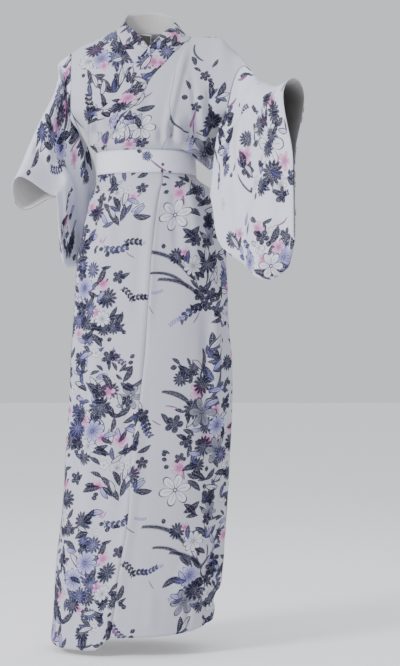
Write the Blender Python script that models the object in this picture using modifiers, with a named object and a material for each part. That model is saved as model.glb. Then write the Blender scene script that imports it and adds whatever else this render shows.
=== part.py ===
"""Cotton yukata robe, worn and belted, as hollow walls of cloth.

Metres, +Z up. The robe faces -Y and the wearer's left is +X. The origin is at the
shoulders, where the wearer holds the robe up. Every panel is a grid laid on one
smooth wrap surface: ellipses from the hem to the underarm, and arches from there over
the shoulders. A panel's edges are short tables of places on that surface.
"""

import math

import bmesh
import bpy
from mathutils import Vector

PIECE = "yukata"

CLOTH = 0.0015  # wall of a panel
BAND_CLOTH = 0.0025  # the folded collar band
SEAM = 0.0004  # gap between two panels at a seam
ARM_SEAM = 0.0009  # gap at the armhole, where the cloth turns
ARM_SEAM_ENDS = 0.0022  # what the gap has more on the shoulder and at the underarm
NECK_SEAM = 0.0013  # gap where the collar stands up from the neckline
LAYER_DROP = 0.0050  # the right front lies this far under the left one
BELT_LIFT = 0.0026  # middle of the belt's wall above the middle of the panels
BELT_LAP = 0.0023  # the belt's outer end lies this much higher than its inner end

UNDERARM_Z = -0.165
SIDE_TOP_Z = -0.232  # the side seams end here, under the open underarm slit
BELT_TOP_Z = -0.262
BELT_BOTTOM_Z = -0.312
HEM_FADE_Z = -1.05  # the hem's dips fade out above this height
HEM_Z = -1.330
SIDE_ANGLE = 95.0
ROUNDNESS = 0.92  # power on the ellipse's sine and cosine, below 1 for fuller corners


def table(columns, *rows):
    """Named columns, sorted by the first one."""
    ordered = sorted(rows, key=lambda row: row[0])
    return {name: [row[i] for row in ordered] for i, name in enumerate(columns.split())}


def read(data, column, at):
    """Smooth value of a column at a place along the first column, with no overshoot."""
    places, values = next(iter(data.values())), data[column]
    if at <= places[0]:
        return values[0]
    if at >= places[-1]:
        return values[-1]
    i = max(k for k in range(len(places) - 1) if places[k] <= at)
    rise = [
        (values[k + 1] - values[k]) / (places[k + 1] - places[k])
        for k in range(len(places) - 1)
    ]

    def slope(k):
        if k == 0 or k == len(places) - 1:
            return rise[min(k, len(rise) - 1)]
        before, after = rise[k - 1], rise[k]
        return 0.0 if before * after <= 0 else 2 * before * after / (before + after)

    span = places[i + 1] - places[i]
    t = (at - places[i]) / span
    return (
        values[i] * (1 + 2 * t) * (1 - t) ** 2
        + slope(i) * span * t * (1 - t) ** 2
        + values[i + 1] * t * t * (3 - 2 * t)
        + slope(i + 1) * span * t * t * (t - 1)
    )


def smooth(t):
    t = min(max(t, 0.0), 1.0)
    return t * t * (3 - 2 * t)


def mix(a, b, t):
    return a + (b - a) * t


def bump(at, middle, half_width):
    """A soft hump, 1 in the middle and 0 past the half width."""
    return smooth(1 - abs(at - middle) / half_width)


# The wrap at each height, from the waist to the hem.
SECTIONS = table(
    "z centre half_width front back",
    (-0.165, -0.003, 0.146, 0.126, 0.117),
    (-0.200, -0.004, 0.141, 0.123, 0.114),
    (-0.240, -0.007, 0.122, 0.114, 0.106),
    (-0.262, -0.009, 0.108, 0.101, 0.097),
    (-0.312, -0.007, 0.109, 0.100, 0.098),
    (-0.347, 0.006, 0.135, 0.113, 0.115),
    (-0.396, 0.006, 0.147, 0.119, 0.128),
    (-0.443, 0.005, 0.157, 0.123, 0.135),
    (-0.504, 0.002, 0.165, 0.126, 0.138),
    (-0.657, 0.000, 0.173, 0.127, 0.135),
    (-0.729, 0.001, 0.179, 0.128, 0.132),
    (-0.828, -0.001, 0.181, 0.128, 0.129),
    (-0.916, -0.006, 0.182, 0.128, 0.126),
    (-1.046, -0.013, 0.182, 0.129, 0.123),
    (-1.181, -0.025, 0.186, 0.130, 0.121),
    (-1.244, -0.030, 0.185, 0.130, 0.120),
    (-1.292, -0.037, 0.181, 0.130, 0.120),
    (-1.350, -0.043, 0.181, 0.130, 0.120),
)

# The arch over the shoulders at each place across, front and back at the underarm.
ARCHES = table(
    "x ridge_y ridge_z front back",
    (-0.190, 0.005, -0.040, -0.045, 0.060),
    (-0.178, 0.005, -0.030, -0.056, 0.068),
    (-0.150, 0.008, -0.012, -0.090, 0.095),
    (-0.110, 0.010, 0.006, -0.112, 0.110),
    (-0.076, 0.012, 0.022, -0.120, 0.115),
    (-0.040, 0.018, 0.029, -0.125, 0.118),
    (0.000, 0.020, 0.030, -0.127, 0.120),
    (0.050, 0.018, 0.022, -0.125, 0.116),
    (0.096, 0.012, 0.001, -0.121, 0.108),
    (0.133, 0.005, 0.001, -0.120, 0.090),
    (0.157, -0.012, -0.003, -0.122, 0.060),
    (0.184, -0.050, -0.035, -0.126, 0.020),
    (0.205, -0.090, -0.060, -0.132, -0.010),
    (0.2256, -0.135, -0.096, -0.145, -0.050),
)

# Soft folds below the waist: angle, top and bottom height, half width in degrees, height.
SKIRT_FOLDS = (
    (0.0, -0.32, -1.40, 14.0, 0.0022),
    (30.0, -0.32, -0.56, 13.0, 0.0045),
    (54.0, -0.32, -0.85, 14.0, 0.0060),
    (78.0, -0.33, -1.36, 15.0, 0.0070),
    (46.0, -1.02, -1.36, 14.0, 0.0070),
    (-40.0, -0.32, -0.78, 13.0, 0.0040),
    (-68.0, -0.33, -1.10, 15.0, 0.0050),
    (118.0, -0.33, -1.20, 15.0, 0.0070),
    (148.0, -0.32, -0.85, 14.0, 0.0060),
    (-120.0, -0.33, -1.30, 15.0, 0.0070),
    (-152.0, -0.32, -0.95, 14.0, 0.0060),
)

# Gathers in the bodice just above the belt: angle, half width in degrees, height.
WAIST_GATHERS = (
    (26.0, 9.0, 0.0060),
    (46.0, 10.0, 0.0070),
    (-84.0, 10.0, 0.0040),
    (-116.0, 11.0, 0.0055),
    (-142.0, 11.0, 0.0060),
    (158.0, 11.0, 0.0060),
    (122.0, 11.0, 0.0060),
)

GATHER_Z = -0.225
GATHER_REACH = 0.034

# The hem's height at each angle, measured from HEM_Z.
HEM_DIP = table(
    "angle dip",
    (-180.0, 0.008),
    (-110.0, -0.006),
    (-85.0, -0.018),
    (-55.0, -0.029),
    (-24.0, -0.028),
    (-11.0, 0.001),
    (20.0, 0.004),
    (60.0, 0.018),
    (90.0, 0.032),
    (130.0, 0.022),
    (180.0, 0.008),
)

# The left front's long seam with its overlap panel, below and above the underarm.
LONG_SEAM_LOW = table(
    "z angle",
    (-0.215, 21.0),
    (-0.262, 19.5),
    (-0.312, 18.5),
    (-0.350, 7.0),
    (-0.440, 2.0),
    (-0.540, 0.5),
    (-0.660, -1.0),
    (-0.780, -4.0),
    (-0.850, -5.6),
    (-0.930, -7.9),
    (-1.060, -7.6),
    (-1.200, -10.2),
    (-1.330, -11.7),
)
LONG_SEAM_TOP = {
    1: table(
        "arch x", (0, 0.046), (15, 0.055), (30, 0.062), (45, 0.074), (65, 0.089), (90, 0.096)
    ),
    -1: table(
        "arch x", (0, 0.046), (15, 0.052), (30, 0.058), (45, 0.066), (65, 0.073), (90, 0.076)
    ),
}

# The overlap panel's outer edge: its free edge, and above the belt the collar's seam.
LAP_EDGE_LOW = table(
    "z angle",
    (-0.215, -27.0),
    (-0.242, -39.0),
    (-0.268, -52.0),
    (-0.312, -69.0),
    (-0.360, -80.0),
    (-0.500, -85.0),
    (-1.330, -86.0),
)
LAP_EDGE_TOP = {
    1: table(
        "arch x", (0, -0.026), (5, -0.014), (17, 0.006), (30, 0.038), (45, 0.065), (65, 0.0885)
    ),
    -1: table(
        "arch x", (0, -0.020), (5, -0.010), (17, 0.006), (30, 0.034), (45, 0.056), (65, 0.0725)
    ),
}
LAP_TIP = 60  # the overlap panel's tip, on the arch

# The collar's free edge over the seam's stations, on each side of the neck.
BAND_EDGE_LOW = table(
    "z angle", (-0.215, -62.0), (-0.242, -84.0), (-0.268, -95.0), (-0.312, -105.0)
)
BAND_EDGE = {
    1: table(
        "arch x at rise",
        (0, -0.090, 0, 0.0),
        (8, -0.068, 8, 0.0),
        (17, -0.042, 22, 0.0),
        (30, -0.002, 41, 0.0),
        (45, 0.024, 56, 0.0),
        (65, 0.047, 78, 0.002),
        (90, 0.054, 96, 0.014),
        (98, 0.052, 100, 0.030),
        (105, 0.042, 106, 0.043),
        (109, 0.022, 110, 0.050),
        (112, 0.0, 112, 0.053),
    ),
    -1: table(
        "arch x at rise",
        (0, -0.084, 0, 0.0),
        (8, -0.064, 8, 0.0),
        (17, -0.040, 22, 0.0),
        (30, -0.006, 39, 0.0),
        (45, 0.017, 54, 0.0),
        (65, 0.041, 72, 0.002),
        (90, 0.058, 94, 0.022),
        (98, 0.054, 99, 0.034),
        (105, 0.043, 105, 0.043),
        (109, 0.022, 109, 0.050),
        (112, 0.0, 112, 0.053),
    ),
}

# The back neckline, from the shoulder ridge to the centre back.
NECK = {
    1: table("arch x", (90, 0.096), (98, 0.088), (105, 0.062), (109, 0.032), (112, 0.0)),
    -1: table("arch x", (90, 0.076), (98, 0.070), (105, 0.050), (109, 0.026), (112, 0.0)),
}
NECK_END = 112

# Where the sleeves are sewn on, over the arch from the front to the back underarm.
ARMHOLE = {
    1: table(
        "arch x", (0, 0.173), (30, 0.190), (60, 0.210), (90, 0.2256), (120, 0.215), (180, 0.190)
    ),
    -1: table("arch x", (0, 0.178), (180, 0.178)),
}

# Rows of the waist: height, and how far the row follows the overhang at the left side,
# down and out. The bodice blouses over the belt there.
SIDE_TOP_ROW = (SIDE_TOP_Z, 0.0030, 0.25, 0.60)
WAIST_ROWS = (
    # height, lift all round, share of the overhang down, share of it out
    (-0.242, 0.0050, 0.55, 0.74),
    (-0.2505, 0.0055, 0.92, 0.74),
    (-0.2540, 0.0040, 1.00, 0.60),
    (-0.2565, 0.0028, 0.00, 0.15),
    (-0.2595, 0.0000, 0.00, 0.00),
)
OVERHANG = 0.044
OVERHANG_MIDDLE = 84.0
OVERHANG_HALF = 52.0
SKIRT_ROWS = (
    -0.274, -0.302, -0.312, -0.323, -0.338, -0.362, -0.400, -0.460, -0.540,
    -0.640, -0.750, -0.860, -0.970, -1.070, -1.160, -1.230, -1.285, HEM_Z,
)
MID_ROWS = (0.75, 0.50, 0.25)
FRONT_ARCHES = (0, 10, 20, 30, 40, 50, 60, 70, 80, 90)
BACK_ARCHES = (98, 105, 109, 112, 122, 132, 142, 152, 161, 171, 180)

# Sleeves: a row for each hanging ring from the armhole (0) to the cuff edge (1). A ring
# hangs from its top over its turn, where the sewn part begins, to its bottom.
RING_COLUMNS = (
    "share top_x top_y top_z turn_x turn_y turn_z low_x low_y low_z face_x face_y face_z"
    " arm bag"
)
SLEEVE_LEFT_RINGS = table(
    RING_COLUMNS,
    (0.00, 0.2256, -0.135, -0.096, 0.163, -0.087, -0.225,
     0.147, -0.102, -0.375, -0.45, -0.89, 0, 0.044, 0.030),
    (0.25, 0.250, -0.205, -0.129, 0.207, -0.155, -0.290,
     0.182, -0.175, -0.490, -0.78, -0.62, 0, 0.042, 0.024),
    (0.50, 0.272, -0.262, -0.146, 0.238, -0.235, -0.310,
     0.216, -0.240, -0.528, -0.85, -0.52, 0, 0.040, 0.022),
    (0.75, 0.289, -0.320, -0.150, 0.270, -0.310, -0.315,
     0.254, -0.305, -0.554, -0.86, -0.51, 0, 0.036, 0.016),
    (0.93, 0.300, -0.362, -0.146, 0.297, -0.362, -0.318,
     0.290, -0.352, -0.532, -0.86, -0.51, 0, 0.030, 0.007),
    (1.00, 0.304, -0.377, -0.143, 0.304, -0.377, -0.318,
     0.306, -0.373, -0.470, -0.86, -0.51, 0, 0.027, 0.0024),
)
SLEEVE_RIGHT_RINGS = table(
    RING_COLUMNS,
    (0.00, -0.178, 0.005, -0.030, -0.128, 0.078, -0.245, -0.128, 0.135, -0.480, 0, -1.0, 0.0, 0.052, 0.020),
    (0.20, -0.198, 0.005, -0.062, -0.143, 0.050, -0.270, -0.142, 0.120, -0.495, 0, -1.0, 0.0, 0.056, 0.020),
    (0.40, -0.213, 0.003, -0.122, -0.162, 0.028, -0.295, -0.158, 0.100, -0.507, 0, -1.0, 0.1, 0.058, 0.024),
    (0.60, -0.243, 0.000, -0.188, -0.180, 0.004, -0.316,
     -0.172, 0.072, -0.513, 0, -0.95, 0.30, 0.058, 0.020),
    (0.80, -0.268, -0.012, -0.252, -0.192, -0.014, -0.338,
     -0.185, 0.045, -0.515, 0, -0.86, 0.50, 0.056, 0.014),
    (0.93, -0.290, -0.024, -0.312, -0.202, -0.024, -0.352,
     -0.195, 0.025, -0.508, 0, -0.78, 0.62, 0.053, 0.007),
    (1.00, -0.307, -0.032, -0.350, -0.208, -0.030, -0.360,
     -0.203, 0.015, -0.480, 0, -0.75, 0.66, 0.052, 0.0024),
)
SLEEVE_STATIONS = (0.0, 0.04, 0.10, 0.18, 0.27, 0.36, 0.45, 0.54, 0.63, 0.72, 0.81, 0.89, 0.95, 1.0)
BAG_SHARES = (0.36, 0.43, 0.51, 0.59, 0.67, 0.75, 0.83, 0.90, 0.955, 1.0)
SLEEVE_REACH = 0.33  # from the armhole to the cuff along the arm, before it bunches
ATTACHED = 0.30  # share of the inner ring that is sewn to the body
CUFF_END = 0.42  # share of the cuff edge that is open
SLEEVE_FOLDS = (
    # station, tilt, half width, height
    (0.22, 0.10, 0.16, 0.010),
    (0.48, 0.12, 0.17, -0.009),
    (0.74, 0.05, 0.16, 0.007),
)

PANEL_COLUMNS = 9
LAP_COLUMNS = {1: 9, -1: 6}  # the outer layer has the finer facets
BAND_COLUMNS = 4
BELT_STEPS = 76
BELT_START = 200.0
BELT_TURN = 405.0


def folds(angle, z):
    """Height of the skirt's soft folds and the gathers over the belt."""
    height = 0.0
    for middle, top, bottom, half, size in SKIRT_FOLDS:
        around = (angle - middle + 180) % 360 - 180
        along = smooth((top - z) / 0.10) * smooth((z - bottom) / 0.12 + 0.3)
        height += size * bump(around, 0, half) * along
    for middle, half, size in WAIST_GATHERS:
        around = (angle - middle + 180) % 360 - 180
        height += size * bump(around, 0, half) * bump(z, GATHER_Z, GATHER_REACH)
    return height


def overhang(angle):
    around = (angle - OVERHANG_MIDDLE + 180) % 360 - 180
    return OVERHANG * bump(around, 0, OVERHANG_HALF)


def low_point(angle, z, lift=0.0):
    """Place on the wrap at an angle from the front, plus towards the wearer's left."""
    a = math.radians(angle)
    sine, cosine = math.sin(a), math.cos(a)
    half_width = read(SECTIONS, "half_width", z)
    depth = read(SECTIONS, "front" if cosine > 0 else "back", z)
    across = math.copysign(abs(sine) ** ROUNDNESS, sine)
    along = math.copysign(abs(cosine) ** ROUNDNESS, cosine)
    normal = Vector((sine / half_width, -cosine / depth, 0)).normalized()
    place = Vector((read(SECTIONS, "centre", z) + half_width * across, -depth * along, z))
    return place + normal * (lift + folds(angle, z))


def arch_place(x, arch):
    a = math.radians(arch)
    ridge_y, ridge_z = read(ARCHES, "ridge_y", x), read(ARCHES, "ridge_z", x)
    far = read(ARCHES, "front" if arch < 90 else "back", x)
    y = ridge_y + (far - ridge_y) * abs(math.cos(a))
    return Vector((x, y, UNDERARM_Z + (ridge_z - UNDERARM_Z) * math.sin(a)))


def top_point(x, arch, lift=0.0):
    """Place on the arches over the shoulders: 0 is the front underarm, 90 the ridge."""
    place = arch_place(x, arch)
    across = arch_place(x + 0.004, arch) - arch_place(x - 0.004, arch)
    over = arch_place(x, min(arch + 3, 180)) - arch_place(x, max(arch - 3, 0))
    normal = across.cross(over).normalized()
    return place + normal * lift


def strip_stations():
    """Rows from the front hem over the shoulder to the back hem."""
    front = [("low", z, 0.0, 0.0, 0.0) for z in reversed(SKIRT_ROWS)]
    front += [("low",) + row for row in reversed(WAIST_ROWS)]
    front += [("low",) + SIDE_TOP_ROW]
    middle = [("mid", share) + SIDE_TOP_ROW[1:] for share in MID_ROWS]
    arches = [("top", arch, 0.0, 0.0, 0.0) for arch in FRONT_ARCHES + BACK_ARCHES]
    return (
        [row + (1,) for row in front + middle]
        + [row + (1 if row[1] <= 90 else -1,) for row in arches]
        + [row + (-1,) for row in reversed(front + middle)]
    )


def armhole_reach(side, facing):
    return read(ARMHOLE[side], "x", 0 if facing > 0 else 180)


def angle_at(x, facing):
    """The angle that a place across the underarm row goes to, lower down."""
    side = math.copysign(1, x)
    share = min(abs(x) / armhole_reach(side, facing), 1.0)
    turn = math.degrees(math.asin(share ** (1 / ROUNDNESS)))
    return side * (turn if facing > 0 else 180 - turn)


def across_at(angle, facing):
    side = math.copysign(1, angle)
    return side * armhole_reach(side, facing) * abs(math.sin(math.radians(angle))) ** ROUNDNESS


def wrap_point(row, angle, x, lift):
    """Place of a row's point on the wrap. Only the outer layer follows the overhang."""
    zone, value, row_lift, drop, out, facing = row
    if zone == "top":
        return top_point(x, value, lift)
    height = value if zone == "low" else SIDE_TOP_Z
    if zone == "mid":
        angle = mix(angle_at(x, facing), angle, value)
    over = overhang(angle) if lift > -LAYER_DROP / 2 else 0.0
    place = low_point(angle, height, lift + row_lift + out * over)
    fade = smooth((HEM_FADE_Z - height) / (HEM_FADE_Z - HEM_Z))
    place.z += read(HEM_DIP, "dip", angle) * fade - drop * over
    if zone == "mid":
        high = top_point(across_at(angle, facing), 0 if facing > 0 else 180, lift)
        level = mix(high.z, place.z, value)
        place = high.lerp(place, smooth(value))
        place.z = level
    return place


def side_lift(side, row, inward):
    """The right side lies lower in front, and comes level towards the centre back."""
    if side > 0:
        return 0.0
    zone, value, facing = row[0], row[1], row[5]
    if facing > 0:
        return -LAYER_DROP
    turned = smooth((value - 90) / 60) if zone == "top" else 1.0
    return -LAYER_DROP * (1 - turned * smooth(inward))


def places(row):
    """The arch and the height at which a row reads its tables."""
    zone, value, facing = row[0], row[1], row[5]
    arch = value if zone == "top" else (0 if facing > 0 else 180)
    return arch, value if zone == "low" else SIDE_TOP_Z


def strip_point(side, row, share):
    """A body panel: from the side and the armhole (0) to the long seam or centre back (1)."""
    arch, height = places(row)
    outer_x = read(ARMHOLE[side], "x", arch)
    if row[5] > 0:
        inner_angle = read(LONG_SEAM_LOW, "angle", height)
        inner_x = read(LONG_SEAM_TOP[side], "x", arch)
    else:
        inner_angle = 180.0
        inner_x = read(NECK[side], "x", arch)
    angle = side * mix(SIDE_ANGLE, inner_angle, share)
    x = side * mix(outer_x, inner_x, share)
    return wrap_point(row, angle, x, side_lift(side, row, share))


def edge_gap(point_at, share, gap=SEAM / 2):
    """A panel's point, drawn in by half a seam gap at its two long edges."""
    place = point_at(share)
    if share in (0.0, 1.0):
        inside = point_at(0.03 if share == 0.0 else 0.97)
        place += (inside - place).normalized() * gap
    return place


def lap_rows():
    """Stations of the overlap panel, from its hem to its tip on the collar."""
    rows = [row for row in strip_stations() if row[5] > 0]
    return [row for row in rows if row[0] != "top" or row[1] <= LAP_TIP]


def lap_point(side, row, share):
    """The overlap panel: from the long seam (0) to its free edge or the collar (1)."""
    arch, height = places(row)
    inner_angle, edge_angle = (
        read(data, "angle", height) for data in (LONG_SEAM_LOW, LAP_EDGE_LOW)
    )
    inner_x, edge_x = (read(data[side], "x", arch) for data in (LONG_SEAM_TOP, LAP_EDGE_TOP))
    angle = side * mix(inner_angle, edge_angle, share)
    x = side * mix(inner_x, edge_x, share)
    return wrap_point(row, angle, x, side_lift(side, row, 1.0))


def band_rows():
    """Stations of one half of the collar, from under the belt to the centre back."""
    rows = strip_stations()
    front = [row for row in rows if row[5] > 0 and (row[0] != "low" or row[1] >= -0.31)]
    back = [row for row in rows if row[0] == "top" and 90 < row[1] <= NECK_END]
    return front + back


def band_point(side, row, share):
    """The collar band: from its seam (0) to its free edge (1)."""
    arch, height = places(row)
    seam = NECK if row[5] < 0 else (LAP_EDGE_TOP if arch <= LAP_TIP else LONG_SEAM_TOP)
    seam_x = side * read(seam[side], "x", arch)
    free_x = side * read(BAND_EDGE[side], "x", arch)
    lift = side_lift(side, row, 1.0)
    x = mix(seam_x, free_x, share)
    if row[0] != "top":
        seam_angle = read(LAP_EDGE_LOW, "angle", height)
        free_angle = read(BAND_EDGE_LOW, "angle", height)
        return wrap_point(row, side * mix(seam_angle, free_angle, share), x, lift)
    place = top_point(x, mix(arch, read(BAND_EDGE[side], "at", arch), share), lift)
    place.z += read(BAND_EDGE[side], "rise", arch) * share ** 1.3
    return place


def material(name, colour, roughness):
    made = bpy.data.materials.new(name)
    made.use_nodes = True
    shader = made.node_tree.nodes["Principled BSDF"]
    shader.inputs["Base Color"].default_value = (*colour, 1)
    shader.inputs["Roughness"].default_value = roughness
    shader.inputs["Metallic"].default_value = 0.0
    return made


def cloth_wall(name, columns, rows, place_at, wall, colour, closed=False):
    """A grid laid on place_at(column, row), given its wall by Solidify."""
    mesh_maker = bmesh.new()
    bmesh.ops.create_grid(mesh_maker, x_segments=columns, y_segments=rows, size=1)
    for vertex in mesh_maker.verts:
        column = round((vertex.co.x + 1) / 2 * columns)
        row = round((vertex.co.y + 1) / 2 * rows)
        vertex.co = place_at(column, row)
    if closed:
        bmesh.ops.remove_doubles(mesh_maker, verts=mesh_maker.verts, dist=0.00005)
    mesh = bpy.data.meshes.new(name)
    mesh_maker.to_mesh(mesh)
    mesh_maker.free()
    mesh.shade_smooth()
    mesh.materials.append(material(name, colour, 0.85))
    made = bpy.data.objects.new(name, mesh)
    collection.objects.link(made)
    thick = made.modifiers.new("Wall", "SOLIDIFY")
    thick.thickness = wall
    thick.offset = 0
    return made


def body_strip(side, name, colour):
    """One body panel in one length, from the front hem over the shoulder to the back hem."""
    rows = strip_stations()

    def place_at(column, row):
        return edge_gap(lambda share: strip_point(side, rows[row], share), column / PANEL_COLUMNS)

    return cloth_wall(name, PANEL_COLUMNS, len(rows) - 1, place_at, CLOTH, colour)


def overlap_panel(side, name, colour):
    rows = lap_rows()
    columns = LAP_COLUMNS[side]

    def place_at(column, row):
        return edge_gap(lambda share: lap_point(side, rows[row], share), column / columns)

    return cloth_wall(name, columns, len(rows) - 1, place_at, CLOTH, colour)


def collar(name, colour):
    """One band round the neck, its left end over its right end in front."""
    half = band_rows()
    rows = [(1, row) for row in half] + [(-1, row) for row in reversed(half[:-1])]

    def place_at(column, row):
        side, station = rows[row]
        share = column / BAND_COLUMNS
        place = band_point(side, station, share)
        if column == 0:
            inside = band_point(side, station, 0.05)
            standing = smooth((station[1] - 60) / 30) if station[0] == "top" else 0.0
            place += (inside - place).normalized() * mix(SEAM, NECK_SEAM, standing)
        return place

    return cloth_wall(name, BAND_COLUMNS, len(rows) - 1, place_at, BAND_CLOTH, colour)


def ring_shares():
    """Shares down a hanging ring, front layer down and back layer up again."""
    front = [(1, ATTACHED * (90 - arch) / 90) for arch in reversed(FRONT_ARCHES)]
    back = [(-1, ATTACHED * (arch - 90) / 90) for arch in BACK_ARCHES]
    front += [(1, share) for share in BAG_SHARES]
    back = [(-1, share) for share in reversed(BAG_SHARES[:-1])] + back[::-1]
    return front + back + [(1, 0.0)]


def round_end(t):
    return math.sqrt(max(0.0, 1 - (1 - min(t, 1.0)) ** 2))


def hanging_point(rings, station, layer, share):
    """A point of a sleeve's ring: its middle line from top to bottom, and half its depth."""
    top, turn, low, face = (
        Vector([read(rings, f"{part}_{axis}", station) for axis in "xyz"])
        for part in ("top", "turn", "low", "face")
    )
    if share < CUFF_END:
        middle = top.lerp(turn, share / CUFF_END)
    else:
        middle = turn.lerp(low, (share - CUFF_END) / (1 - CUFF_END))
    arm, bag = read(rings, "arm", station), read(rings, "bag", station)
    half = mix(arm, bag, smooth((share - 0.08) / (CUFF_END - 0.08)))
    half *= round_end(share / 0.10) * round_end((1 - share) / 0.05)
    sway = sum(
        size * bump(station + tilt * (share - 0.6), place, width)
        for place, tilt, width, size in SLEEVE_FOLDS
    ) * smooth((share - 0.15) / 0.35) * smooth((1.0 - station) / 0.25)
    return middle + face.normalized() * (layer * half + sway)


def armhole_row(arch):
    return ("top", arch, 0.0, 0.0, 0.0, 1 if arch <= 90 else -1)


def armhole_point(side, layer, share, gap, reach):
    """The body panel's sewn edge, moved square off it by the gap, and on along the arm."""
    arch = 90 - layer * 90 * share / ATTACHED
    edge = strip_point(side, armhole_row(arch), 0.0)
    arm = (edge - strip_point(side, armhole_row(arch), 0.04)).normalized()
    before, after = (
        strip_point(side, armhole_row(min(max(arch + step, 0), 180)), 0.0) for step in (-2, 2)
    )
    along = (after - before).normalized()
    square = (arm - along * arm.dot(along)).normalized()
    return edge + square * gap + arm * reach


def sleeve_point(side, rings, station, layer, share):
    """The hanging ring, drawn to the armhole where the sleeve is sewn on."""
    place = hanging_point(rings, station, layer, share)
    sewn = min(share, ATTACHED)
    end = max(1 - smooth(sewn / 0.14), 0.5 * smooth((sewn - 0.24) / 0.06))
    gap = ARM_SEAM + ARM_SEAM_ENDS * end
    target = armhole_point(side, layer, sewn, gap, station * SLEEVE_REACH)
    pull = target - hanging_point(rings, station, layer, sewn)
    fade = 1 - smooth(station / 0.30)
    return place + pull * fade * (1 - smooth((share - ATTACHED) / 0.25))


def sleeve(side, name, rings, colour):
    shares = ring_shares()

    def place_at(column, row):
        layer, share = shares[column]
        return sleeve_point(side, rings, SLEEVE_STATIONS[row], layer, share)

    return cloth_wall(
        name, len(shares) - 1, len(SLEEVE_STATIONS) - 1, place_at, CLOTH, colour, closed=True
    )


def belt(name, colour):
    """A sash wound once round, its outer end lapped over its inner end at the back."""

    def place_at(column, row):
        turned = column / BELT_STEPS * BELT_TURN
        angle = BELT_START - turned
        lap = BELT_LAP * smooth((turned - 318) / 30)
        z = mix(BELT_BOTTOM_Z, BELT_TOP_Z, row)
        return low_point(angle, z, BELT_LIFT + lap)

    return cloth_wall(name, BELT_STEPS, 1, place_at, CLOTH, colour)


def clear_scene():
    for thing in list(bpy.data.objects):
        bpy.data.objects.remove(thing, do_unlink=True)


def build():
    body_strip(1, "body_left", (0.80, 0.80, 0.84))
    body_strip(-1, "body_right", (0.76, 0.76, 0.81))
    overlap_panel(1, "overlap_left", (0.84, 0.84, 0.88))
    overlap_panel(-1, "overlap_right", (0.72, 0.72, 0.78))
    collar("collar", (0.62, 0.62, 0.72))
    sleeve(1, "sleeve_left", SLEEVE_LEFT_RINGS, (0.78, 0.78, 0.83))
    sleeve(-1, "sleeve_right", SLEEVE_RIGHT_RINGS, (0.78, 0.78, 0.83))
    belt("belt", (0.86, 0.86, 0.90))


clear_scene()
collection = bpy.data.collections.new(PIECE)
bpy.context.scene.collection.children.link(collection)
build()
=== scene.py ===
import math
from bisect import bisect_right
from functools import lru_cache

import bmesh
import bpy
import numpy as np
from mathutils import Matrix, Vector


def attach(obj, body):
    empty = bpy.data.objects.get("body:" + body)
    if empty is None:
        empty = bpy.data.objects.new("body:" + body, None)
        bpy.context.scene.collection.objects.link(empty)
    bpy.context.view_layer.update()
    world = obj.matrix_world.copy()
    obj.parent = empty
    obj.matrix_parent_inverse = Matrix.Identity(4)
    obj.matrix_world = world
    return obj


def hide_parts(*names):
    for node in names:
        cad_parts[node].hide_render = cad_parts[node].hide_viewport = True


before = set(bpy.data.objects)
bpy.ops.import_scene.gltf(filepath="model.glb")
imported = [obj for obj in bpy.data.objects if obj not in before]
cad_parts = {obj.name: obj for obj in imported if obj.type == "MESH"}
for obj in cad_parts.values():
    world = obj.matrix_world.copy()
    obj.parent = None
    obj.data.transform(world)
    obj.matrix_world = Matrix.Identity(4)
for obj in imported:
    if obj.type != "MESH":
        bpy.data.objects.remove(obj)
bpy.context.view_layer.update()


# camera and stage, first of all

cameraValues = {
    "place": (0.1125, -4.0, -0.664),
    "lens": 96.1,  # mm, on a film 36 mm high
    "film": 36.0,
}
stageValues = {
    "floor": -1.372,  # height, just under the hem
    "half": 14.0,
    "colour": (0.93, 0.93, 0.94),
    "glow": 0.20,
}
lightValues = (
    # name, place, size, power, colour
    ("keyLight", (-2.9, -2.4, 1.1), 1.0, 150.0, (0.97, 0.975, 1.0)),
    ("fillLight", (2.4, -3.0, 0.0), 2.4, 3.0, (1.0, 0.96, 0.91)),
    ("topLight", (-0.2, -0.4, 2.3), 2.2, 22.0, (1.0, 1.0, 1.0)),
    ("backLight", (1.2, 1.3, 0.9), 1.6, 10.0, (1.0, 1.0, 1.0)),
)
skyValues = {"colour": (0.93, 0.95, 1.0), "strength": 0.80}


def makeCamera():
    data = bpy.data.cameras.new("camera")
    data.sensor_fit = "VERTICAL"
    data.sensor_height = cameraValues["film"]
    data.lens = cameraValues["lens"]
    data.clip_end = 60
    camera = bpy.data.objects.new("camera", data)
    camera.location = cameraValues["place"]
    camera.rotation_euler = (math.radians(90), 0, 0)
    bpy.context.scene.collection.objects.link(camera)
    bpy.context.scene.camera = camera


def makeLights():
    middle = Vector((0.05, 0, -0.6))
    for name, place, size, power, colour in lightValues:
        data = bpy.data.lights.new(name, "AREA")
        data.size = size
        data.energy = power
        data.color = colour
        light = bpy.data.objects.new(name, data)
        light.location = place
        light.rotation_euler = (middle - Vector(place)).to_track_quat("-Z", "Y").to_euler()
        bpy.context.scene.collection.objects.link(light)
    sky = bpy.data.worlds.new("sky")
    sky.use_nodes = True
    back = sky.node_tree.nodes["Background"]
    back.inputs["Color"].default_value = (*skyValues["colour"], 1)
    back.inputs["Strength"].default_value = skyValues["strength"]
    bpy.context.scene.world = sky


def makeStage():
    values = stageValues
    bpy.ops.mesh.primitive_plane_add(size=2 * values["half"], location=(0, 0, values["floor"]))
    stage = bpy.context.object
    stage.name = "stage"
    paper = bpy.data.materials.new("stagePaper")
    paper.use_nodes = True
    shader = paper.node_tree.nodes["Principled BSDF"]
    shader.inputs["Base Color"].default_value = (*values["colour"], 1)
    shader.inputs["Roughness"].default_value = 0.9
    shader.inputs["Emission Color"].default_value = (*values["colour"], 1)
    shader.inputs["Emission Strength"].default_value = values["glow"]
    stage.data.materials.append(paper)


makeCamera()
makeLights()
makeStage()
print("camera, lights and stage made")


# the shape that the cloth hangs in: tables and the wrap they make

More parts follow.
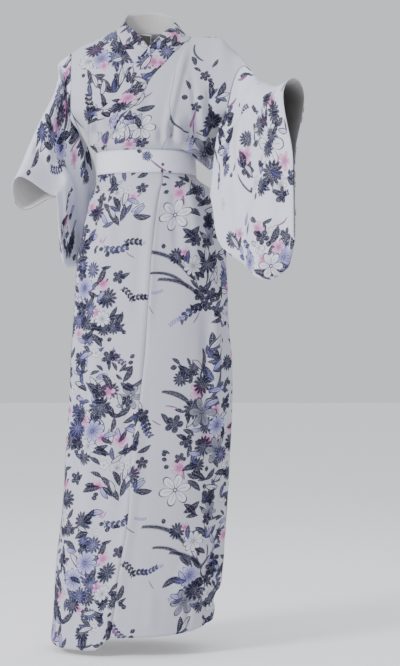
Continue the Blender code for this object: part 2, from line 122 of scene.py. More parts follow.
cloth = 0.0015  # wall of a panel
seam = 0.0004  # gap between two panels at a seam
armSeam = 0.0009  # gap at the armhole, where the cloth turns
armSeamEnds = 0.0022  # what the gap has more on the shoulder and at the underarm
neckSeam = 0.0013  # gap where the collar stands up from the neckline
layerDrop = 0.0050  # the right front lies this far under the left one
beltLift = 0.0026  # middle of the belt's wall above the middle of the panels
beltLap = 0.0023  # the belt's outer end lies this much higher than its inner end

underarmZ = -0.165
sideTopZ = -0.232  # the side seams end here, under the open underarm slit
beltTopZ = -0.262
beltBottomZ = -0.312
hemFadeZ = -1.05  # the hem's dips fade out above this height
hemZ = -1.330
sideAngle = 95.0
roundness = 0.92  # power on the ellipse's sine and cosine, below 1 for fuller corners


class Table:  # named columns, in order of the first one

    def __init__(self, columns, rows):
        ordered = sorted(rows, key=lambda row: row[0])
        names = columns.split()
        self.values = {name: [row[i] for row in ordered] for i, name in enumerate(names)}
        self.at = self.values[names[0]]
        self.slopes = {name: slopesOf(self.at, self.values[name]) for name in names[1:]}


def table(columns, *rows):
    return Table(columns, rows)


def slopesOf(at, values):
    rise = [(values[k + 1] - values[k]) / (at[k + 1] - at[k]) for k in range(len(at) - 1)]
    inner = [
        0.0 if before * after <= 0 else 2 * before * after / (before + after)
        for before, after in zip(rise, rise[1:])
    ]
    return [rise[0]] + inner + [rise[-1]]


# smooth value of a column, with no overshoot
@lru_cache(maxsize=None)
def read(data, column, at):
    places, values = data.at, data.values[column]
    if at <= places[0]:
        return values[0]
    if at >= places[-1]:
        return values[-1]
    i = bisect_right(places, at) - 1
    slopes = data.slopes[column]
    span = places[i + 1] - places[i]
    t = (at - places[i]) / span
    return (
        values[i] * (1 + 2 * t) * (1 - t) ** 2
        + slopes[i] * span * t * (1 - t) ** 2
        + values[i + 1] * t * t * (3 - 2 * t)
        + slopes[i + 1] * span * t * t * (t - 1)
    )


def smooth(t):
    t = min(max(t, 0.0), 1.0)
    return t * t * (3 - 2 * t)


def mix(a, b, t):
    return a + (b - a) * t


# a soft hump, 1 in the middle and 0 past the half width
def bump(at, middle, halfWidth):
    return smooth(1 - abs(at - middle) / halfWidth)


# The wrap at each height, from the waist to the hem.
sections = table(
    "z centre halfWidth front back",
    (-0.165, -0.003, 0.146, 0.126, 0.117),
    (-0.200, -0.004, 0.141, 0.123, 0.114),
    (-0.240, -0.007, 0.122, 0.114, 0.106),
    (-0.262, -0.009, 0.108, 0.101, 0.097),
    (-0.312, -0.007, 0.109, 0.100, 0.098),
    (-0.347, 0.006, 0.135, 0.113, 0.115),
    (-0.396, 0.006, 0.147, 0.119, 0.128),
    (-0.443, 0.005, 0.157, 0.123, 0.135),
    (-0.504, 0.002, 0.165, 0.126, 0.138),
    (-0.657, 0.000, 0.173, 0.127, 0.135),
    (-0.729, 0.001, 0.179, 0.128, 0.132),
    (-0.828, -0.001, 0.181, 0.128, 0.129),
    (-0.916, -0.006, 0.182, 0.128, 0.126),
    (-1.046, -0.013, 0.182, 0.129, 0.123),
    (-1.181, -0.025, 0.186, 0.130, 0.121),
    (-1.244, -0.030, 0.185, 0.130, 0.120),
    (-1.292, -0.037, 0.181, 0.130, 0.120),
    (-1.350, -0.043, 0.181, 0.130, 0.120),
)

# The arch over the shoulders at each place across, front and back at the underarm.
arches = table(
    "x ridgeY ridgeZ front back",
    (-0.190, 0.005, -0.040, -0.045, 0.060),
    (-0.178, 0.005, -0.030, -0.056, 0.068),
    (-0.150, 0.008, -0.012, -0.090, 0.095),
    (-0.110, 0.010, 0.006, -0.112, 0.110),
    (-0.076, 0.012, 0.022, -0.120, 0.115),
    (-0.040, 0.018, 0.029, -0.125, 0.118),
    (0.000, 0.020, 0.030, -0.127, 0.120),
    (0.050, 0.018, 0.022, -0.125, 0.116),
    (0.096, 0.012, 0.001, -0.121, 0.108),
    (0.133, 0.005, 0.001, -0.120, 0.090),
    (0.157, -0.012, -0.003, -0.122, 0.060),
    (0.184, -0.050, -0.035, -0.126, 0.020),
    (0.205, -0.090, -0.060, -0.132, -0.010),
    (0.2256, -0.135, -0.096, -0.145, -0.050),
)

# Soft folds below the waist: angle, top and bottom height, half width in degrees, height.
skirtFolds = (
    (0.0, -0.32, -1.40, 14.0, 0.0022),
    (30.0, -0.32, -0.56, 13.0, 0.0045),
    (54.0, -0.32, -0.85, 14.0, 0.0060),
    (78.0, -0.33, -1.36, 15.0, 0.0070),
    (46.0, -1.02, -1.36, 14.0, 0.0070),
    (-40.0, -0.32, -0.78, 13.0, 0.0040),
    (-68.0, -0.33, -1.10, 15.0, 0.0050),
    (118.0, -0.33, -1.20, 15.0, 0.0070),
    (148.0, -0.32, -0.85, 14.0, 0.0060),
    (-120.0, -0.33, -1.30, 15.0, 0.0070),
    (-152.0, -0.32, -0.95, 14.0, 0.0060),
)

# Gathers in the bodice just above the belt: angle, half width in degrees, height.
waistGathers = (
    (26.0, 9.0, 0.0060),
    (46.0, 10.0, 0.0070),
    (-84.0, 10.0, 0.0040),
    (-116.0, 11.0, 0.0055),
    (-142.0, 11.0, 0.0060),
    (158.0, 11.0, 0.0060),
    (122.0, 11.0, 0.0060),
)

gatherZ = -0.225
gatherReach = 0.034

# The hem's height at each angle, measured from hemZ.
hemDip = table(
    "angle dip",
    (-180.0, 0.008),
    (-110.0, -0.006),
    (-85.0, -0.018),
    (-55.0, -0.029),
    (-24.0, -0.028),
    (-11.0, 0.001),
    (20.0, 0.004),
    (60.0, 0.018),
    (90.0, 0.032),
    (130.0, 0.022),
    (180.0, 0.008),
)

# The left front's long seam with its overlap panel, below and above the underarm.
longSeamLow = table(
    "z angle",
    (-0.215, 21.0),
    (-0.262, 19.5),
    (-0.312, 18.5),
    (-0.350, 7.0),
    (-0.440, 2.0),
    (-0.540, 0.5),
    (-0.660, -1.0),
    (-0.780, -4.0),
    (-0.850, -5.6),
    (-0.930, -7.9),
    (-1.060, -7.6),
    (-1.200, -10.2),
    (-1.330, -11.7),
)
longSeamTop = {
    1: table(
        "arch x", (0, 0.046), (15, 0.055), (30, 0.062), (45, 0.074), (65, 0.089), (90, 0.096)
    ),
    -1: table(
        "arch x", (0, 0.046), (15, 0.052), (30, 0.058), (45, 0.066), (65, 0.073), (90, 0.076)
    ),
}

# The overlap panel's outer edge: its free edge, and above the belt the collar's seam.
lapEdgeLow = table(
    "z angle",
    (-0.215, -27.0),
    (-0.242, -39.0),
    (-0.268, -52.0),
    (-0.312, -69.0),
    (-0.360, -80.0),
    (-0.500, -85.0),
    (-1.330, -86.0),
)
lapEdgeTop = {
    1: table(
        "arch x", (0, -0.026), (5, -0.014), (17, 0.006), (30, 0.038), (45, 0.065), (65, 0.0885)
    ),
    -1: table(
        "arch x", (0, -0.020), (5, -0.010), (17, 0.006), (30, 0.034), (45, 0.056), (65, 0.0725)
    ),
}
lapTip = 60  # the overlap panel's tip, on the arch

# The collar's free edge over the seam's stations, on each side of the neck.
bandEdgeLow = table(
    "z angle", (-0.215, -62.0), (-0.242, -84.0), (-0.268, -95.0), (-0.312, -105.0)
)
bandEdge = {
    1: table(
        "arch x at rise",
        (0, -0.090, 0, 0.0),
        (8, -0.068, 8, 0.0),
        (17, -0.042, 22, 0.0),
        (30, -0.002, 41, 0.0),
        (45, 0.024, 56, 0.0),
        (65, 0.047, 78, 0.002),
        (90, 0.054, 96, 0.014),
        (98, 0.052, 100, 0.030),
        (105, 0.042, 106, 0.043),
        (109, 0.022, 110, 0.050),
        (112, 0.0, 112, 0.053),
    ),
    -1: table(
        "arch x at rise",
        (0, -0.084, 0, 0.0),
        (8, -0.064, 8, 0.0),
        (17, -0.040, 22, 0.0),
        (30, -0.006, 39, 0.0),
        (45, 0.017, 54, 0.0),
        (65, 0.041, 72, 0.002),
        (90, 0.058, 94, 0.022),
        (98, 0.054, 99, 0.034),
        (105, 0.043, 105, 0.043),
        (109, 0.022, 109, 0.050),
        (112, 0.0, 112, 0.053),
    ),
}

# The back neckline, from the shoulder ridge to the centre back.
neck = {
    1: table("arch x", (90, 0.096), (98, 0.088), (105, 0.062), (109, 0.032), (112, 0.0)),
    -1: table("arch x", (90, 0.076), (98, 0.070), (105, 0.050), (109, 0.026), (112, 0.0)),
}
neckEnd = 112

# Where the sleeves are sewn on, over the arch from the front to the back underarm.
armhole = {
    1: table(
        "arch x", (0, 0.173), (30, 0.190), (60, 0.210), (90, 0.2256), (120, 0.215), (180, 0.190)
    ),
    -1: table("arch x", (0, 0.178), (180, 0.178)),
}

# Rows of the waist: height, and how far the row follows the overhang at the left side,
# down and out. The bodice blouses over the belt there.
sideTopRow = (sideTopZ, 0.0030, 0.25, 0.60)
waistRows = (
    # height, lift all round, share of the overhang down, share of it out
    (-0.242, 0.0050, 0.55, 0.74),
    (-0.2505, 0.0055, 0.92, 0.74),
    (-0.2540, 0.0040, 1.00, 0.60),
    (-0.2565, 0.0028, 0.00, 0.15),
    (-0.2595, 0.0000, 0.00, 0.00),
)
overhangSize = 0.044
overhangMiddle = 84.0
overhangHalf = 52.0
# Sleeves: a row for each hanging ring from the armhole (0) to the cuff edge (1). A ring
# hangs from its top over its turn, where the sewn part begins, to its bottom.
ringColumns = (
    "share topX topY topZ turnX turnY turnZ lowX lowY lowZ faceX faceY faceZ"
    " arm bag"
)
sleeveLeftRings = table(
    ringColumns,
    (0.00, 0.2256, -0.135, -0.096, 0.163, -0.087, -0.225,
     0.147, -0.102, -0.375, -0.45, -0.89, 0, 0.044, 0.030),
    (0.25, 0.250, -0.205, -0.129, 0.207, -0.155, -0.290,
     0.182, -0.175, -0.490, -0.78, -0.62, 0, 0.042, 0.024),
    (0.50, 0.272, -0.262, -0.146, 0.238, -0.235, -0.310,
     0.216, -0.240, -0.528, -0.85, -0.52, 0, 0.040, 0.022),
    (0.75, 0.289, -0.320, -0.150, 0.270, -0.310, -0.315,
     0.254, -0.305, -0.554, -0.86, -0.51, 0, 0.036, 0.016),
    (0.93, 0.300, -0.362, -0.146, 0.297, -0.362, -0.318,
     0.290, -0.352, -0.532, -0.86, -0.51, 0, 0.030, 0.007),
    (1.00, 0.304, -0.377, -0.143, 0.304, -0.377, -0.318,
     0.306, -0.373, -0.470, -0.86, -0.51, 0, 0.027, 0.0024),
)
sleeveRightRings = table(
    ringColumns,
    (0.00, -0.178, 0.005, -0.030, -0.128, 0.078, -0.245, -0.128, 0.135, -0.480, 0, -1.0, 0.0, 0.052, 0.020),
    (0.20, -0.198, 0.005, -0.062, -0.143, 0.050, -0.270, -0.142, 0.120, -0.495, 0, -1.0, 0.0, 0.056, 0.020),
    (0.40, -0.213, 0.003, -0.122, -0.162, 0.028, -0.295, -0.158, 0.100, -0.507, 0, -1.0, 0.1, 0.058, 0.024),
    (0.60, -0.243, 0.000, -0.188, -0.180, 0.004, -0.316,
     -0.172, 0.072, -0.513, 0, -0.95, 0.30, 0.058, 0.020),
    (0.80, -0.268, -0.012, -0.252, -0.192, -0.014, -0.338,
     -0.185, 0.045, -0.515, 0, -0.86, 0.50, 0.056, 0.014),
    (0.93, -0.290, -0.024, -0.312, -0.202, -0.024, -0.352,
     -0.195, 0.025, -0.508, 0, -0.78, 0.62, 0.053, 0.007),
    (1.00, -0.307, -0.032, -0.350, -0.208, -0.030, -0.360,
     -0.203, 0.015, -0.480, 0, -0.75, 0.66, 0.052, 0.0024),
)
sleeveReach = 0.33  # from the armhole to the cuff along the arm, before it bunches
attached = 0.30  # share of the inner ring that is sewn to the body
cuffEnd = 0.42  # share of the cuff edge that is open
sleeveFolds = (
    # station, tilt, half width, height
    (0.22, 0.10, 0.16, 0.010),
    (0.48, 0.12, 0.17, -0.009),
    (0.74, 0.05, 0.16, 0.007),
)

# height of the skirt's soft folds and the gathers over the belt
def folds(angle, z):
    height = 0.0
    for middle, top, bottom, half, size in skirtFolds:
        around = (angle - middle + 180) % 360 - 180
        if abs(around) < half:
            along = smooth((top - z) / 0.10) * smooth((z - bottom) / 0.12 + 0.3)
            height += size * bump(around, 0, half) * along
    for middle, half, size in waistGathers:
        around = (angle - middle + 180) % 360 - 180
        if abs(around) < half:
            height += size * bump(around, 0, half) * bump(z, gatherZ, gatherReach)
    return height


def overhang(angle):
    around = (angle - overhangMiddle + 180) % 360 - 180
    return overhangSize * bump(around, 0, overhangHalf)


# place on the wrap at an angle from the front, plus towards the wearer's left
def lowPoint(angle, z, lift=0.0):
    a = math.radians(angle)
    sine, cosine = math.sin(a), math.cos(a)
    halfWidth = read(sections, "halfWidth", z)
    depth = read(sections, "front" if cosine > 0 else "back", z)
    across = math.copysign(abs(sine) ** roundness, sine)
    along = math.copysign(abs(cosine) ** roundness, cosine)
    normal = Vector((sine / halfWidth, -cosine / depth, 0)).normalized()
    place = Vector((read(sections, "centre", z) + halfWidth * across, -depth * along, z))
    return place + normal * (lift + folds(angle, z))


def archPlace(x, arch):
    a = math.radians(arch)
    ridgeY, ridgeZ = read(arches, "ridgeY", x), read(arches, "ridgeZ", x)
    far = read(arches, "front" if arch < 90 else "back", x)
    y = ridgeY + (far - ridgeY) * abs(math.cos(a))
    return Vector((x, y, underarmZ + (ridgeZ - underarmZ) * math.sin(a)))


# place on the arches over the shoulders: 0 is the front underarm, 90 the ridge
def topPoint(x, arch, lift=0.0):
    place = archPlace(x, arch)
    across = archPlace(x + 0.004, arch) - archPlace(x - 0.004, arch)
    over = archPlace(x, min(arch + 3, 180)) - archPlace(x, max(arch - 3, 0))
    normal = across.cross(over).normalized()
    return place + normal * lift


def armholeReach(side, facing):
    return read(armhole[side], "x", 0 if facing > 0 else 180)


# the angle that a place across the underarm row goes to, lower down
def angleAt(x, facing):
    side = math.copysign(1, x)
    share = min(abs(x) / armholeReach(side, facing), 1.0)
    turn = math.degrees(math.asin(share ** (1 / roundness)))
    return side * (turn if facing > 0 else 180 - turn)


def acrossAt(angle, facing):
    side = math.copysign(1, angle)
    return side * armholeReach(side, facing) * abs(math.sin(math.radians(angle))) ** roundness


# place of a row's point on the wrap. Only the outer layer follows the overhang
def wrapPoint(row, angle, x, lift):
    zone, value, rowLift, drop, out, facing = row
    if zone == "top":
        return topPoint(x, value, lift)
    height = value if zone == "low" else sideTopZ
    if zone == "mid":
        angle = mix(angleAt(x, facing), angle, value)
    over = overhang(angle) if lift > -layerDrop / 2 else 0.0
    place = lowPoint(angle, height, lift + rowLift + out * over)
    fade = smooth((hemFadeZ - height) / (hemFadeZ - hemZ))
    place.z += read(hemDip, "dip", angle) * fade - drop * over
    if zone == "mid":
        high = topPoint(acrossAt(angle, facing), 0 if facing > 0 else 180, lift)
        level = mix(high.z, place.z, value)
        place = high.lerp(place, smooth(value))
        place.z = level
    return place


# the right side lies lower in front, and comes level towards the centre back
def sideLift(side, row, inward):
    if side > 0:
        return 0.0
    zone, value, facing = row[0], row[1], row[5]
    if facing > 0:
        return -layerDrop
    turned = smooth((value - 90) / 60) if zone == "top" else 1.0
    return -layerDrop * (1 - turned * smooth(inward))


# the arch and the height at which a row reads its tables
def places(row):
    zone, value, facing = row[0], row[1], row[5]
    arch = value if zone == "top" else (0 if facing > 0 else 180)
    return arch, value if zone == "low" else sideTopZ


# a body panel: from the side and the armhole (0) to the long seam or centre back (1)
def stripPoint(side, row, share):
    arch, height = places(row)
    outerX = read(armhole[side], "x", arch)
    if row[5] > 0:
        innerAngle = read(longSeamLow, "angle", height)
        innerX = read(longSeamTop[side], "x", arch)
    else:
        innerAngle = 180.0
        innerX = read(neck[side], "x", arch)
    angle = side * mix(sideAngle, innerAngle, share)
    x = side * mix(outerX, innerX, share)
    return wrapPoint(row, angle, x, sideLift(side, row, share))


# a panel's point, drawn in by half a seam gap at its two long edges
def edgeGap(pointAt, share, gap=seam / 2):
    place = pointAt(share)
    if share in (0.0, 1.0):
        inside = pointAt(0.03 if share == 0.0 else 0.97)
        place += (inside - place).normalized() * gap
    return place


# the overlap panel: from the long seam (0) to its free edge or the collar (1)
def lapPoint(side, row, share):
    arch, height = places(row)
    innerAngle, edgeAngle = (
        read(data, "angle", height) for data in (longSeamLow, lapEdgeLow)
    )
    innerX, edgeX = (read(data[side], "x", arch) for data in (longSeamTop, lapEdgeTop))
    angle = side * mix(innerAngle, edgeAngle, share)
    x = side * mix(innerX, edgeX, share)
    return wrapPoint(row, angle, x, sideLift(side, row, 1.0))


# the collar band: from its seam (0) to its free edge (1)
def bandPoint(side, row, share):
    arch, height = places(row)
    seam = neck if row[5] < 0 else (lapEdgeTop if arch <= lapTip else longSeamTop)
    seamX = side * read(seam[side], "x", arch)
    freeX = side * read(bandEdge[side], "x", arch)
    lift = sideLift(side, row, 1.0)
    x = mix(seamX, freeX, share)
    if row[0] != "top":
        seamAngle = read(lapEdgeLow, "angle", height)
        freeAngle = read(bandEdgeLow, "angle", height)
        return wrapPoint(row, side * mix(seamAngle, freeAngle, share), x, lift)
    place = topPoint(x, mix(arch, read(bandEdge[side], "at", arch), share), lift)
    place.z += read(bandEdge[side], "rise", arch) * share ** 1.3
    return place


def roundEnd(t):
    return math.sqrt(max(0.0, 1 - (1 - min(t, 1.0)) ** 2))


# a point of a sleeve's ring: its middle line from top to bottom, and half its depth
def hangingPoint(rings, station, layer, share):
    top, turn, low, face = (
        Vector([read(rings, part + axis, station) for axis in "XYZ"])
        for part in ("top", "turn", "low", "face")
    )
    if share < cuffEnd:
        middle = top.lerp(turn, share / cuffEnd)
    else:
        middle = turn.lerp(low, (share - cuffEnd) / (1 - cuffEnd))
    arm, bag = read(rings, "arm", station), read(rings, "bag", station)
    half = mix(arm, bag, smooth((share - 0.08) / (cuffEnd - 0.08)))
    half *= roundEnd(share / 0.10) * roundEnd((1 - share) / 0.05)
    sway = sum(
        size * bump(station + tilt * (share - 0.6), place, width)
        for place, tilt, width, size in sleeveFolds
    ) * smooth((share - 0.15) / 0.35) * smooth((1.0 - station) / 0.25)
    return middle + face.normalized() * (layer * half + sway)


def armholeRow(arch):
    return ("top", arch, 0.0, 0.0, 0.0, 1 if arch <= 90 else -1)


# the body panel's sewn edge, moved square off it by the gap, and on along the arm
def armholePoint(side, layer, share, gap, reach):
    arch = 90 - layer * 90 * share / attached
    edge = stripPoint(side, armholeRow(arch), 0.0)
    arm = (edge - stripPoint(side, armholeRow(arch), 0.04)).normalized()
    before, after = (
        stripPoint(side, armholeRow(min(max(arch + step, 0), 180)), 0.0) for step in (-2, 2)
    )
    along = (after - before).normalized()
    square = (arm - along * arm.dot(along)).normalized()
    return edge + square * gap + arm * reach


# the hanging ring, drawn to the armhole where the sleeve is sewn on
def sleevePoint(side, rings, station, layer, share):
    place = hangingPoint(rings, station, layer, share)
    sewn = min(share, attached)
    end = max(1 - smooth(sewn / 0.14), 0.5 * smooth((sewn - 0.24) / 0.06))
    gap = armSeam + armSeamEnds * end
    target = armholePoint(side, layer, sewn, gap, station * sleeveReach)
    pull = target - hangingPoint(rings, station, layer, sewn)
    fade = 1 - smooth(station / 0.30)
    return place + pull * fade * (1 - smooth((share - attached) / 0.25))


# finer rows on the same wrap, about 6 mm apart

gridValues = {
    "lowStep": 0.0062,
    "waistStep": 0.0018,
    "archStep": 2.5,  # degrees
    "midSteps": 12,
    "stripColumns": 44,
    "bandColumns": 9,
    "beltColumns": 190,
    "sleeveStations": 54,
    "sleeveRing": 66,  # columns on each of the two layers
}
waistTable = table(
    "z lift drop out",
    (-0.2600, 0.0, 0.0, 0.0),
    *[row for row in waistRows],
    sideTopRow,
)


def lowRow(z, facing):
    return ("low", z) + tuple(read(waistTable, name, z) for name in ("lift", "drop", "out")) + (facing,)


def frontRows(lowest=hemZ):
    waistTop = -0.2610
    count = round((waistTop - lowest) / gridValues["lowStep"])
    heights = [lowest + (waistTop - lowest) * k / count for k in range(count)]
    count = round((sideTopZ - waistTop) / gridValues["waistStep"])
    heights += [waistTop + (sideTopZ - waistTop) * k / count for k in range(count + 1)]
    rows = [lowRow(z, 1) for z in heights]
    steps = gridValues["midSteps"]
    return rows + [("mid", 1 - k / steps) + sideTopRow[1:] + (1,) for k in range(1, steps)]


def archRows(first, last):
    count = max(2, round(abs(last - first) / gridValues["archStep"]))
    arches = [first + (last - first) * k / count for k in range(count + 1)]
    return [("top", arch, 0.0, 0.0, 0.0, 1 if arch <= 90 else -1) for arch in arches]


def allRows():
    front = frontRows()
    back = [row[:5] + (-1,) for row in reversed(front)]
    return front + archRows(0, 90) + archRows(92, 180) + back


def gridOf(columns, rows, pointAt):
    return np.array([[pointAt(row, column / columns) for column in range(columns + 1)] for row in rows])


def outward(places):  # normal of each point of a grid, by its neighbours
    across = np.gradient(places, axis=1)
    along = np.gradient(places, axis=0)
    normal = np.cross(across, along)
    return normal / np.maximum(np.linalg.norm(normal, axis=2, keepdims=True), 1e-9)


def flatSizes(places):  # the flat cloth's two coordinates, in metres, along a grid
    across = np.linalg.norm(np.diff(places, axis=1), axis=2)
    u = np.concatenate([np.zeros((len(places), 1)), np.cumsum(across, axis=1)], axis=1)
    along = np.linalg.norm(np.diff(places, axis=0), axis=2).mean(axis=1)
    v = np.concatenate([[0.0], np.cumsum(along)])
    return u, np.repeat(v[:, None], places.shape[1], axis=1)


def inPhoto(places):  # where the camera sees a point, in the frame's 400 by 666
    eye = np.array(cameraValues["place"])
    scale = 666 * cameraValues["lens"] / cameraValues["film"]
    away = places - eye
    return np.stack(
        [200 + away[..., 0] / away[..., 1] * scale, 333 - away[..., 2] / away[..., 1] * scale],
        axis=-1,
    )


# creases, in the photo's frame for the front and in metres for hidden sides

def creaseHeight(spots, creases):
    height = np.zeros(spots.shape[:-1])
    for way, wide, deep in creases:
        way = np.array(way, float)
        lengths = np.linalg.norm(np.diff(way, axis=0), axis=1)
        starts = np.concatenate([[0], np.cumsum(lengths)])
        best = np.full(height.shape, 1e9)
        along = np.zeros(height.shape)
        for k, length in enumerate(lengths):
            step = (way[k + 1] - way[k]) / length
            t = np.clip((spots - way[k]) @ step, 0, length)
            off = np.linalg.norm(spots - way[k] - t[..., None] * step, axis=-1)
            closer = off < best
            best = np.where(closer, off, best)
            along = np.where(closer, (starts[k] + t) / starts[-1], along)
        fade = np.clip(np.minimum(along, 1 - along) / 0.3, 0, 1)
        fade = 0.15 + 0.85 * fade * fade * (3 - 2 * fade)
        shape = np.clip(1 - (best / wide) ** 2, 0, 1) ** 2
        height += deep * shape * fade
    return height


creaseGain = 1.9
sleeveGain = 0.8  # the sleeves' creases, as a share of creaseGain
underBelt = {"smooth": 0.030, "fade": 0.02, "reach": 0.16}  # where the belt presses the cloth flat

frontCreases = (
    # way in the photo's pixels, half width in pixels, height in metres
    (((188, 45), (178, 75), (171, 105), (166, 128), (163, 146)), 6.0, 0.0042),
    (((181, 60), (172, 95), (167, 122)), 4.5, -0.0022),
    (((171, 120), (172, 150)), 4.5, -0.0085),
    (((178, 122), (179, 149)), 6.0, 0.0060),
    (((161, 126), (160, 148)), 5.0, -0.0040),
    (((189, 118), (188, 150)), 4.5, -0.0050),
    (((197, 90), (203, 128), (206, 165)), 7.0, 0.0045),
    (((191, 70), (196, 110), (197, 150)), 5.0, -0.0035),
    (((208, 84), (211, 130)), 5.0, -0.0035),
    (((150, 145), (143, 120), (150, 92)), 7.0, -0.0020),
    (((135, 148), (128, 130), (132, 108)), 6.0, 0.0020),
    (((92, 96), (95, 125), (96, 150)), 5.0, -0.0042),
    (((101, 104), (104, 130), (106, 150)), 5.0, 0.0030),
    (((82, 78), (88, 112), (90, 146)), 5.0, 0.0030),
    (((113, 118), (116, 150)), 5.0, -0.0022),
    (((157, 178), (151, 235), (149, 300), (146, 350)), 6.5, 0.0030),
    (((144, 360), (138, 430), (132, 500), (121, 580), (114, 640)), 8.0, 0.0042),
    (((142, 190), (140, 250), (136, 330)), 7.0, -0.0022),
    (((131, 380), (124, 450), (118, 520)), 8.0, -0.0035),
    (((116, 178), (112, 215), (110, 260)), 7.0, 0.0026),
    (((100, 178), (94, 215), (90, 262)), 6.0, -0.0030),
    (((172, 178), (176, 215), (178, 262)), 7.0, -0.0026),
    (((186, 176), (194, 215), (198, 270)), 7.0, 0.0034),
    (((196, 176), (207, 210), (213, 250)), 6.0, -0.0034),
    (((222, 250), (216, 330), (214, 420)), 7.0, 0.0034),
    (((207, 300), (204, 380), (206, 470)), 8.0, -0.0028),
    (((100, 300), (94, 400), (88, 500), (82, 600)), 10.0, 0.0034),
    (((84, 340), (78, 430), (74, 520)), 7.0, -0.0030),
    (((184, 606), (196, 585), (214, 560), (222, 540)), 7.0, -0.0060),
    (((176, 600), (184, 575), (196, 545)), 8.0, 0.0040),
    (((187, 600), (188, 630)), 4.0, -0.0050),
    (((195, 604), (202, 592), (220, 578)), 5.0, 0.0050),
    (((205, 600), (206, 626)), 4.0, -0.0040),
    (((213, 606), (222, 588)), 4.5, -0.0035),
    (((152, 356), (226, 355)), 2.2, 0.0007),
    (((136, 468), (226, 466)), 2.2, 0.0008),
    (((118, 579), (200, 577)), 2.2, 0.0007),
    (((98, 651), (112, 600), (118, 540)), 7.0, 0.0030),
    (((74, 640), (78, 590), (80, 540)), 7.0, -0.0028),
    (((150, 634), (152, 590)), 8.0, 0.0022),
)
leftSleeveCreases = (
    (((246, 84), (240, 110), (240, 140), (244, 176)), 8.0, 0.0050),
    (((254, 84), (249, 112), (247, 146), (248, 190)), 6.0, -0.0046),
    (((268, 96), (262, 120), (256, 150)), 7.0, 0.0030),
    (((228, 104), (229, 140), (233, 180), (240, 215)), 7.0, -0.0040),
    (((252, 194), (258, 228), (270, 262)), 10.0, 0.0040),
    (((278, 180), (281, 222), (280, 262)), 9.0, -0.0036),
    (((264, 224), (294, 222)), 3.0, -0.0012),
    (((222, 176), (230, 212), (238, 245)), 7.0, 0.0030),
)
rightSleeveCreases = (
    (((62, 92), (60, 118), (64, 150)), 6.0, -0.0050),
    (((50, 112), (46, 140), (50, 168)), 6.0, 0.0044),
    (((70, 118), (76, 140), (84, 168)), 6.0, 0.0050),
    (((77, 126), (86, 148), (92, 180)), 5.0, -0.0055),
    (((66, 62), (72, 84), (74, 112)), 6.0, -0.0030),
    (((37, 136), (36, 158)), 5.0, -0.0036),
    (((58, 160), (66, 176), (76, 200)), 6.0, 0.0040),
    (((62, 212), (66, 240), (72, 262)), 6.0, -0.0030),
)
backCreases = (
    # way in metres seen from behind: across and up, half width, height
    (((0.02, -0.02), (0.03, -0.11), (0.03, -0.21)), 0.016, 0.0035),
    (((-0.05, -0.05), (-0.045, -0.13), (-0.03, -0.23)), 0.015, -0.0038),
    (((0.09, -0.08), (0.075, -0.15), (0.07, -0.24)), 0.015, -0.0040),
    (((-0.11, -0.07), (-0.10, -0.15), (-0.085, -0.24)), 0.015, 0.0042),
    (((0.05, -0.33), (0.055, -0.48), (0.06, -0.66)), 0.020, 0.0045),
    (((-0.04, -0.33), (-0.05, -0.50), (-0.05, -0.74)), 0.021, -0.0040),
    (((-0.09, -0.34), (-0.11, -0.55), (-0.12, -0.88)), 0.024, 0.0050),
    (((0.11, -0.36), (0.125, -0.60), (0.12, -0.92)), 0.022, -0.0042),
    (((0.02, -0.70), (0.01, -0.95), (-0.01, -1.25)), 0.026, 0.0040),
    (((0.08, -0.85), (0.08, -1.05), (0.06, -1.32)), 0.024, -0.0045),
    (((-0.08, -0.92), (-0.11, -1.12), (-0.13, -1.34)), 0.024, 0.0048),
    (((-0.16, -0.80), (-0.18, -1.05), (-0.20, -1.30)), 0.020, -0.0038),
    (((-0.15, -0.60), (0.15, -0.61)), 0.005, 0.0008),
    (((-0.18, -1.00), (0.13, -1.01)), 0.005, 0.0008),
)


def creased(places, frontList, seen, back=0.0):  # seen is 1 on rows or columns that face the front
    normal = outward(places)
    if (normal[..., 1] * np.where(seen, 1, -1)).mean() > 0:
        normal = -normal
    front = creaseHeight(inPhoto(places), frontList)
    behind = creaseHeight(places[..., [0, 2]], backCreases) * back
    z = places[..., 2]
    fromBelt = np.abs(z - (beltTopZ + beltBottomZ) / 2)
    belted = np.clip((fromBelt - underBelt["smooth"]) / underBelt["fade"], 0, 1)
    pressed = np.where(np.abs(places[..., 0]) < underBelt["reach"], belted, 1.0)
    height = creaseGain * np.where(seen, front, behind) * pressed
    return places + normal * height[..., None]


# meshes from the grids

def clothMesh(name, places, u, v, wall, edge=None, line=None, turned=1, closed=False):
    rows, columns = places.shape[0] - 1, places.shape[1] - 1
    maker = bmesh.new()
    bmesh.ops.create_grid(maker, x_segments=columns, y_segments=rows, size=1)
    flat = maker.loops.layers.uv.new("clothFlat")
    edging = maker.verts.layers.float_vector.new("edging")  # distance from a finished edge, and along it
    spots = {}
    for vertex in maker.verts:
        column = round((vertex.co.x + 1) / 2 * columns)
        row = round((vertex.co.y + 1) / 2 * rows)
        spots[vertex] = (row, column)
        vertex.co = places[row, column]
        vertex[edging] = (1.0, 0.0, 0.0) if edge is None else (edge[row, column], line[row, column], 0.0)
    for face in maker.faces:
        for loop in face.loops:
            spot = spots[loop.vert]
            loop[flat].uv = (u[spot], v[spot])
    if turned < 0:
        bmesh.ops.reverse_faces(maker, faces=maker.faces)
    if closed:
        bmesh.ops.remove_doubles(maker, verts=maker.verts, dist=0.00005)
    mesh = bpy.data.meshes.new(name)
    maker.to_mesh(mesh)
    maker.free()
    mesh.shade_smooth()
    piece = bpy.data.objects.new(name, mesh)
    bpy.context.scene.collection.objects.link(piece)
    thick = piece.modifiers.new("wall", "SOLIDIFY")
    thick.thickness = wall
    thick.offset = 0
    thick.material_offset = 1
    thick.material_offset_rim = 0
    return piece


# the print: kinds of motif, and where each one goes

